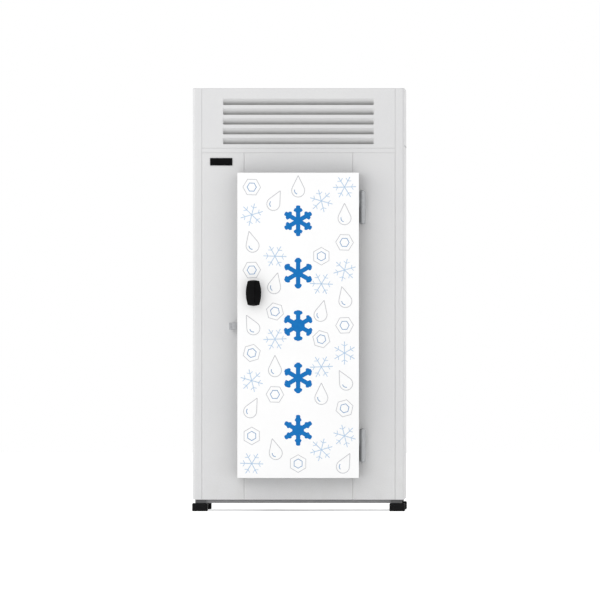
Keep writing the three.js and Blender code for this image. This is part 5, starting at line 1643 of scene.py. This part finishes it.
@dataclass
class Hinge:
    """One barrel hinge: a lower knuckle with its pin on the frame and an upper knuckle on the leaf."""

    finishes: Finishes
    name: str
    radius: float = 15.5 * MM
    sides: int = 56
    dome: float = 0.8
    dome_steps: int = 8
    edge: float = 0.8 * MM
    gap: float = 0.3 * MM
    tip: float = 0.08
    web: float = 6 * MM
    web_sink: tuple[float, float] = (1 * MM, 2 * MM)
    plate: float = 5 * MM
    plate_corner: float = 4.5 * MM
    plate_margins: tuple[float, float] = (2 * MM, 2.3 * MM)
    pin_radius: float = 6 * MM
    pin_root: float = 10 * MM
    bore_radius: float = 6.4 * MM
    bore_start: float = 5 * MM
    bore_depth: float = 72 * MM

    def build(self) -> None:
        """Makes both halves."""
        low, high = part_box(f"hinge_{self.name}_frame")
        leaf_low, leaf_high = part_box(f"hinge_{self.name}_leaf")
        axis = (high.x - self.radius, (leaf_low.y + leaf_high.y) / 2, leaf_low.z)
        self.frame_half(low, high, axis)
        self.leaf_half(leaf_low, leaf_high, axis)

    def knuckle(self, name: str, foot: Point, way: Vector, length: float) -> Workpiece:
        """A barrel with a rounded far end.

        Args:
            name: The piece's name.
            foot: The middle of its flat end.
            way: The direction to its far end.
            length: Its length.

        Returns:
            The barrel.
        """
        rise = self.dome * self.radius
        profile = [(self.radius, 0.0), (self.radius, length - rise)]
        for i in range(1, self.dome_steps):
            angle = math.radians(90 * i / self.dome_steps)
            profile.append((self.radius * math.cos(angle), length - rise + rise * math.sin(angle)))
        profile.append((self.tip * self.radius, length))
        return Workpiece.turned(name, foot, way, profile, self.sides)

    def frame_half(self, low: Vector, high: Vector, axis: tuple[float, float, float]) -> None:
        """The lower knuckle with its web, foot plate and pin.

        Args:
            low: The node's lowest corner.
            high: Its highest corner.
            axis: The point where the two halves meet on the axis.
        """
        x, y, z = axis
        node = f"hinge_{self.name}_frame"
        top = z - self.gap
        body = self.knuckle(f"{node}_turned", (x, y, top), DOWN, top - low.z)
        below, above = self.plate_margins
        web = Workpiece.block("web", (x - self.web, y, low.z + 0.6 * self.radius),
                              (x + self.web, high.y - self.web_sink[1], z - self.radius / 2))
        plate = Workpiece.block("plate", (low.x, high.y - self.plate, low.z + below),
                                (high.x, high.y, z - above))
        plate.bevel(along(FRONT), self.plate_corner, 5)
        body.combine(web).combine(plate)
        body.combine(Workpiece.drum("pin", (x, y, z - self.pin_root), (x, y, high.z), self.pin_radius, 32))
        body.soften(self.edge).smooth(32).fit(self.finishes.hinge, "cabinet", "zinc", [node])

    def leaf_half(self, low: Vector, high: Vector, axis: tuple[float, float, float]) -> None:
        """The upper knuckle with its web and the plate let into the leaf.

        Args:
            low: The node's lowest corner.
            high: Its highest corner.
            axis: The point where the two halves meet on the axis.
        """
        x, y, z = axis
        node = f"hinge_{self.name}_leaf"
        body = self.knuckle(f"{node}_turned", (x, y, z), UP, high.z - z)
        plate = Workpiece.block("plate", (low.x, low.y, z + self.gap),
                                (low.x + self.plate, high.y, high.z - self.gap))
        web = Workpiece.block("web", (low.x + self.web_sink[0], y - self.web, z + self.radius / 2),
                              (x, y + self.web, high.z - self.radius))
        body.combine(plate).combine(web)
        foot, end = (x, y, z - self.bore_start), (x, y, z + self.bore_depth)
        body.cut(Workpiece.drum("bore", foot, end, self.bore_radius, 32))
        body.soften(self.edge).smooth(32).fit(self.finishes.hinge, "door", "zinc", [node])


@dataclass
class GripAndLock:
    """The grip on its collar, the lift rod, the bolt and its keeper."""

    finishes: Finishes
    grip_edge: float = 1.6 * MM
    bolt_edge: float = 0.8 * MM
    keeper_edge: float = 0.7 * MM
    neck: float = 25 * MM
    flange_levels: tuple[float, float] = (8.3 * MM, 5.6 * MM)
    flange_height: float = 4.6 * MM
    flange_lip: float = 1.0 * MM
    screw_radius: float = 3.2 * MM
    screw_inset: Point = (9 * MM, 3 * MM)
    screw_levels: tuple[float, float] = (14 * MM, 8 * MM)

    def build(self) -> None:
        """Makes and dresses the handle and lock."""
        rework("handle_grip", "moulded", self.finishes.grip, "black_plastic", self.grip_edge, 4,
               limit=22, shade=45, body="handle")
        self.collar()
        for node in ("latch_rod", "lock_case"):
            dress(node, self.finishes.zinc)
        bolt = Workpiece.copy_of("lock_bolt", "machined").soften(self.bolt_edge).modify("TRIANGULATE")
        bolt.smooth(35).fit(self.finishes.zinc, "lock_bolt", "zinc", ["lock_bolt"])
        self.keeper()

    def collar(self) -> None:
        """The fixed collar: a neck with a flange under the grip."""
        low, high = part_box("handle_rosette")
        depth = high.y - low.y
        flange = (high.x - low.x) / 2
        root, swell = self.flange_levels
        collar = Workpiece.turned(
            "handle_rosette_moulded", ((low.x + high.x) / 2, high.y, (low.z + high.z) / 2), FRONT,
            [(self.neck, 0.0), (self.neck, depth - root), (0.98 * flange, depth - swell),
             (flange, depth - self.flange_height), (flange, depth - self.flange_lip),
             (flange - self.flange_lip, depth), (0.4 * self.neck, depth)], 64)
        collar.smooth(30).fit(self.finishes.black, "door", "black_plastic", ["handle_rosette"])

    def keeper(self) -> None:
        """The folded keeper with its two screws."""
        rework("lock_keeper", "folded", self.finishes.dull, "zinc", self.keeper_edge)
        low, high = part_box("lock_keeper")
        x, y = low.x + self.screw_inset[0], high.y - self.screw_inset[1]
        places = [((x, y, z), FRONT) for z in (low.z + self.screw_levels[0], high.z - self.screw_levels[1])]
        Screw(self.screw_radius).set("lock_keeper_screws", places, self.finishes.dull, "cabinet")


# ---------------------------------------------------------------- cooling unit and chamber


@dataclass
class FanSet:
    """One guarded fan: wire guard and motor as one piece, and the rotor."""

    finishes: Finishes
    prefix: str
    rotor_body: str
    front: Vector
    rings: int = 5
    spokes: int = 8
    wire: float = 1.5 * MM
    can: float = 33 * MM
    can_gap: float = 6 * MM
    spoke_root: float = 2 * MM
    rim_inset: float = 2 * MM
    guard_rise: float = 20 * MM
    foot_rise: float = 10 * MM
    rotor_edge: float = 0.5 * MM

    def build(self) -> None:
        """Makes the guard with its motor, and the rotor."""
        self.guard()
        rework(f"{self.prefix}_rotor", "pressed", self.finishes.fins, "aluminium_fins", self.rotor_edge,
               limit=35, shade=40, body=self.rotor_body)

    def guard(self) -> None:
        """Rings and spokes of wire round the motor's can."""
        node = f"{self.prefix}_motor"
        low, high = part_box(node)
        centre = (low + high) / 2
        away, plate, far = (-1, high.y, low.y) if self.front.y < 0 else (1, low.y, high.y)
        can, length = self.can, abs(far - plate)
        reach = (high.z - low.z) / 2 - self.rim_inset
        plane = plate + away * self.guard_rise
        motor = Workpiece.turned(f"{node}_wired", (centre.x, plate, centre.z), self.front, [
            (0.55 * can, 0.5 * MM), (0.96 * can, 1.5 * MM), (can, 4 * MM), (can, length - 9 * MM),
            (0.94 * can, length - 4 * MM), (0.5 * can, length - 1.5 * MM), (0.3 * can, length),
        ], 40)
        wires = []
        inmost = can + self.can_gap
        for i in range(self.rings):
            radius = inmost + (reach - inmost) * i / (self.rings - 1)
            wires.append(Workpiece.ring("wire", (centre.x, plane, centre.z), Axis.Y, radius, self.wire, 56))
        hub = Vector((centre.x, plane + away * self.wire, centre.z))
        for i in range(self.spokes):
            angle = math.radians(360 * (i + 0.5) / self.spokes)
            way = Vector((math.cos(angle), 0, math.sin(angle)))
            outer = hub + way * reach
            wires.append(Workpiece.drum("wire", hub + way * (can - self.spoke_root), outer, self.wire, 10))
            if i % 2 == 0:
                foot = (outer.x, plate + away * self.foot_rise, outer.z)
                wires.append(Workpiece.drum("wire", outer, foot, 1.4 * self.wire, 10))
        motor.gather(wires).smooth(35).fit(self.finishes.enamel, "cabinet", "black_enamel", [node])


@dataclass
class FinnedCoil:
    """A coil block with close fins, end plates and copper return bends."""

    finishes: Finishes
    node: str
    pitch: float = 5.0 * MM
    fin: float = 0.5 * MM
    fin_inset: Point = (4 * MM, 1 * MM, 2 * MM)
    plate: float = 1.5 * MM
    rows: int = 3
    bend_pitch: float = 60 * MM
    bend_gap: float = 4 * MM
    tube: float = 5 * MM
    tube_inset: float = 1 * MM
    tube_lap: float = 0.2 * MM

    def build(self) -> None:
        """Makes the fins, plates, tubes and bends."""
        low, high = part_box(self.node)
        bend = self.bend_pitch / 4 + self.tube + self.bend_gap
        right = low.x + (high.x - low.x - bend)
        count = int((right - low.x) / self.pitch)
        x, y, z = self.fin_inset
        fin = Workpiece.block("fin", (low.x + x, low.y + y, low.z + z),
                              (low.x + x + self.fin, high.y - y, high.z - z))
        span = right - low.x - 2 * x - self.fin
        block = fin.repeated(f"{self.node}_finned", [
            Matrix.Translation((span * i / (count - 1), 0, 0)) for i in range(count)])
        block.gather([Workpiece.block("plate", (edge, low.y, low.z), (edge + self.plate, high.y, high.z))
                      for edge in (low.x, right - self.plate)])
        block.fit(self.finishes.fins, "cabinet", "aluminium_fins", [self.node])
        self.tubes(low, high, right)

    def tubes(self, low: Vector, high: Vector, right: float) -> None:
        """Straight tubes through the fins, joined by bends on the right.

        Args:
            low: The node's lowest corner.
            high: Its highest corner.
            right: Where the finned block ends.
        """
        y, centre = (low.y + high.y) / 2, (low.z + high.z) / 2
        x = right + self.bend_gap
        radius = self.bend_pitch / 4
        pieces = []
        for i in range(self.rows):
            z = centre + (i - (self.rows - 1) / 2) * self.bend_pitch
            for side in (-1, 1):
                level = z + side * radius
                start, end = (low.x + self.tube_inset, y, level), (x + self.tube_lap, y, level)
                pieces.append(Workpiece.drum("tube", start, end, self.tube, 16))
            bend = Workpiece.ring("bend", (x, y, z), Axis.Y, radius, self.tube, 32, 12)
            pieces.append(bend.slice((x, y, z), RIGHT).remove(lambda spot, way: spot.x < x))
        tubes = Workpiece.joined(f"{self.node}_tubes", pieces)
        tubes.smooth(40).fit(self.finishes.copper, "cabinet", "copper")


@dataclass
class Compressor:
    """The drawn shell with its weld belt, base plate, rubber feet, stubs and terminal cover."""

    finishes: Finishes
    radius: float = 82 * MM
    bowl: Steps = ((0.55, 17), (0.78, 18), (0.93, 26), (0.99, 42), (1.0, 60))
    shell: Steps = (
        (1.0, 0.52), (1.035, 0.53), (1.04, 0.55), (1.035, 0.57), (0.995, 0.58), (0.985, 0.7), (0.95, 0.8),
        (0.87, 0.88), (0.72, 0.945), (0.5, 0.985), (0.25, 1.0), (0.05, 1.0),
    )
    base_levels: tuple[float, float] = (14 * MM, 18 * MM)
    foot: Steps = ((13, 0), (12, 3), (9, 6), (12, 10), (12, 15))
    cover_edge: float = 4 * MM
    stub_radius: float = 8 * MM
    stub_place: tuple[float, float] = (25 * MM, 33 * MM)

    def build(self) -> None:
        """Makes and dresses the compressor."""
        low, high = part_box("compressor")
        radius, height = self.radius, high.z - low.z
        reach = 1.05 * radius
        x, y = low.x + reach, (low.y + high.y) / 2
        profile = [*scaled(self.bowl, radius, MM), *scaled(self.shell, radius, height)]
        shell = Workpiece.turned("compressor_drawn", (x, y, low.z), UP, profile, 64)
        under, over = (low.z + level for level in self.base_levels)
        base = Workpiece.block("base", (x - reach, y - reach, under), (x + reach, y + reach, over))
        parts = [base.bevel(along(UP), 0.3 * radius, 8)]
        for dx in (-0.8, 0.8):
            for dy in (-0.8, 0.8):
                spot = (x + dx * radius, y + dy * radius, low.z)
                parts.append(Workpiece.turned("foot", spot, UP, scaled(self.foot, MM, MM), 24))
        cover = Workpiece.block("terminal", (x + 0.9 * radius, y - 0.35 * radius, low.z + 0.35 * height),
                                (high.x, y + 0.35 * radius, low.z + 0.7 * height))
        parts.append(cover.soften(self.cover_edge, 4))
        for side in (-1, 1):
            dx, dy = self.stub_place
            spot = Vector((x + side * dx, y + side * dy, low.z + 0.8 * height))
            parts.append(Workpiece.drum("stub", spot, spot + UP * 0.2 * height, self.stub_radius, 20))
        shell.gather(parts).smooth(40).fit(self.finishes.enamel, "cabinet", "black_enamel", ["compressor"])


@dataclass
class CoolingUnit:
    """What stands on the deck under the hood."""

    finishes: Finishes
    cowl_edge: float = 0.5 * MM
    box_edge: float = 1.0 * MM
    tank: Steps = (
        (0.74, 0.0), (0.75, 0.05), (0.9, 0.09), (1.0, 0.16), (1.0, 0.5), (1.01, 0.505), (1.01, 0.525),
        (1.0, 0.53), (1.0, 0.84), (0.93, 0.9), (0.75, 0.95), (0.5, 0.985), (0.2, 1.0),
    )
    body: str = "cabinet"

    def build(self) -> None:
        """Makes and dresses the cooling unit."""
        zinc = self.finishes.galvanised
        FinnedCoil(self.finishes, "condenser_coil").build()
        rework("condenser_shroud", "pressed", zinc, "galvanised", self.cowl_edge)
        FanSet(self.finishes, "condenser_fan", "condenser_fan", BACK).build()
        Compressor(self.finishes).build()
        self.receiver()
        rework("control_box", "folded", zinc, "galvanised", self.box_edge)
        for node in ("discharge_pipe", "liquid_pipe", "suction_pipe"):
            pipe = Workpiece.copy_of(node, "drawn").modify("SUBSURF", levels=2, render_levels=2)
            pipe.smooth(60).fit(self.finishes.copper, self.body, "copper", [node])

    def receiver(self) -> None:
        """The domed liquid receiver."""
        low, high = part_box("liquid_receiver")
        foot = ((low.x + high.x) / 2, (low.y + high.y) / 2, low.z)
        profile = scaled(self.tank, (high.x - low.x) / 2, high.z - low.z)
        Workpiece.turned("liquid_receiver_drawn", foot, UP, profile).smooth(40).fit(
            self.finishes.enamel, self.body, "black_enamel", ["liquid_receiver"])


@dataclass
class ChamberFittings:
    """Evaporator, tray, drain, lamp and rack."""

    finishes: Finishes
    case_edge: float = 0.5 * MM
    fin_pitch: float = 6.0 * MM
    tray_edge: float = 0.6 * MM
    drain_edge: float = 0.5 * MM
    rack_edge: float = 1.5 * MM
    lamp_edge: float = 2.0 * MM

    def build(self) -> None:
        """Makes and dresses what hangs and lies in the chamber."""
        made = self.finishes
        rework("evaporator_case", "folded", made.inside_white, "white_paint", self.case_edge)
        FinnedCoil(made, "evaporator_coil", pitch=self.fin_pitch).build()
        for side in ("left", "right"):
            prefix = f"evaporator_fan_{side}"
            FanSet(made, prefix, prefix, FRONT, rings=4).build()
        rework("drip_tray", "folded", made.stainless, "stainless", self.tray_edge)
        rework("drain_pipe", "drawn", made.liner, "liner_plastic", self.drain_edge, limit=50, shade=60)
        rework("floor_rack", "pressed", made.galvanised, "galvanised", self.rack_edge, 3)
        rework("interior_light", "moulded", made.lens, "lens", self.lamp_edge, 3, limit=30, shade=45)


# ---------------------------------------------------------------- studio


@dataclass(frozen=True)
class SoftLamp:
    """A square soft lamp."""

    name: str
    place: Point
    size: float
    power: float

    def hang(self, target: Point) -> None:
        """Hangs the lamp.

        Args:
            target: The point it looks at.
        """
        data = bpy.data.lights.new(self.name, "AREA")
        data.shape = "SQUARE"
        data.size = self.size
        data.energy = self.power
        lamp = bpy.data.objects.new(self.name, data)
        bpy.context.scene.collection.objects.link(lamp)
        lamp.location = self.place
        lamp.rotation_euler = (Vector(target) - Vector(self.place)).to_track_quat("-Z", "Y").to_euler()


@dataclass
class Studio:
    """A plain pale floor, soft light and the camera."""

    distance: float = 80.0
    field_width: float = 3.12
    azimuth: float = 1.1
    aim: Point = (0.0078, -0.349, 1.0986)
    sensor: float = 36.0
    sky: float = 0.785
    key: SoftLamp = SoftLamp("key", (-4.6, -6.4, 4.2), 8.0, 145.0)
    rim: SoftLamp = SoftLamp("rim", (-9.0, -1.6, 2.2), 3.0, 55.0)
    floor_glow: float = 0.5
    floor_bounce: float = 0.14
    floor_side: float = 60.0

    def build(self) -> None:
        """Makes the camera, the floor and the light."""
        self.camera()
        self.floor()
        self.light()

    def camera(self) -> None:
        """A long lens far off, a little to the right of the door, level with the middle."""
        data = bpy.data.cameras.new("camera")
        data.sensor_width = self.sensor
        data.lens = self.sensor * self.distance / self.field_width
        data.clip_end = 4 * self.distance
        camera = bpy.data.objects.new("camera", data)
        bpy.context.scene.collection.objects.link(camera)
        angle = math.radians(self.azimuth)
        back = Vector((math.sin(angle), -math.cos(angle), 0))
        camera.location = Vector(self.aim) + back * self.distance
        camera.rotation_euler = (-back).to_track_quat("-Z", "Y").to_euler()
        bpy.context.scene.camera = camera

    def floor(self) -> None:
        """The pale floor."""
        deselect_all()
        bpy.ops.mesh.primitive_plane_add(size=self.floor_side)
        floor = bpy.context.object
        floor.name = "studio_floor"
        ink = Palette("studio_floor", Roughness=0.9, Emission_Color=(1, 1, 1, 1))
        tone = ink.ramp(ink.noise(0.6, 2.0), (246, 246, 246), (250, 250, 250))
        seen = ink.node("LightPath", {}).outputs["Is Camera Ray"]
        glow = ink.range(seen, self.floor_bounce, self.floor_glow, 0.0, 1.0)
        floor.data.materials.append(ink.feed(Base_Color=tone, Emission_Strength=glow))

    def light(self) -> None:
        """An even sky, seen as white, and two large soft lamps, one upper left in front and one far left."""
        world = bpy.data.worlds.new("studio_sky")
        bpy.context.scene.world = world
        board = NodeBoard(world)
        rays = board.node("LightPath", {}).outputs
        seen = rays["Is Camera Ray"]
        for ray in ("Is Glossy Ray", "Is Transmission Ray"):
            seen = board.reckon(Arithmetic.MAXIMUM, seen, rays[ray])
        background = board.tree.nodes["Background"]
        background.inputs["Color"].default_value = (1, 1, 1, 1)
        board.tree.links.new(board.range(seen, self.sky, 1.0, 0.0, 1.0), background.inputs["Strength"])
        for lamp in (self.key, self.rim):
            lamp.hang((0, *self.aim[1:]))
        bpy.context.scene.view_settings.view_transform = "Standard"


def main() -> None:
    """Builds the studio and then the object, from the outside in."""
    logging.basicConfig(level=logging.INFO, format="%(name)s: %(message)s")
    finishes = Finishes()
    Studio().build()
    Carcass(finishes).build()
    Hood(finishes).build()
    DoorLeaf(finishes).build()
    for name in ("upper", "lower"):
        Hinge(finishes, name).build()
    GripAndLock(finishes).build()
    CoolingUnit(finishes).build()
    ChamberFittings(finishes).build()
    deselect_all()


if __name__ == "__main__":
    main()
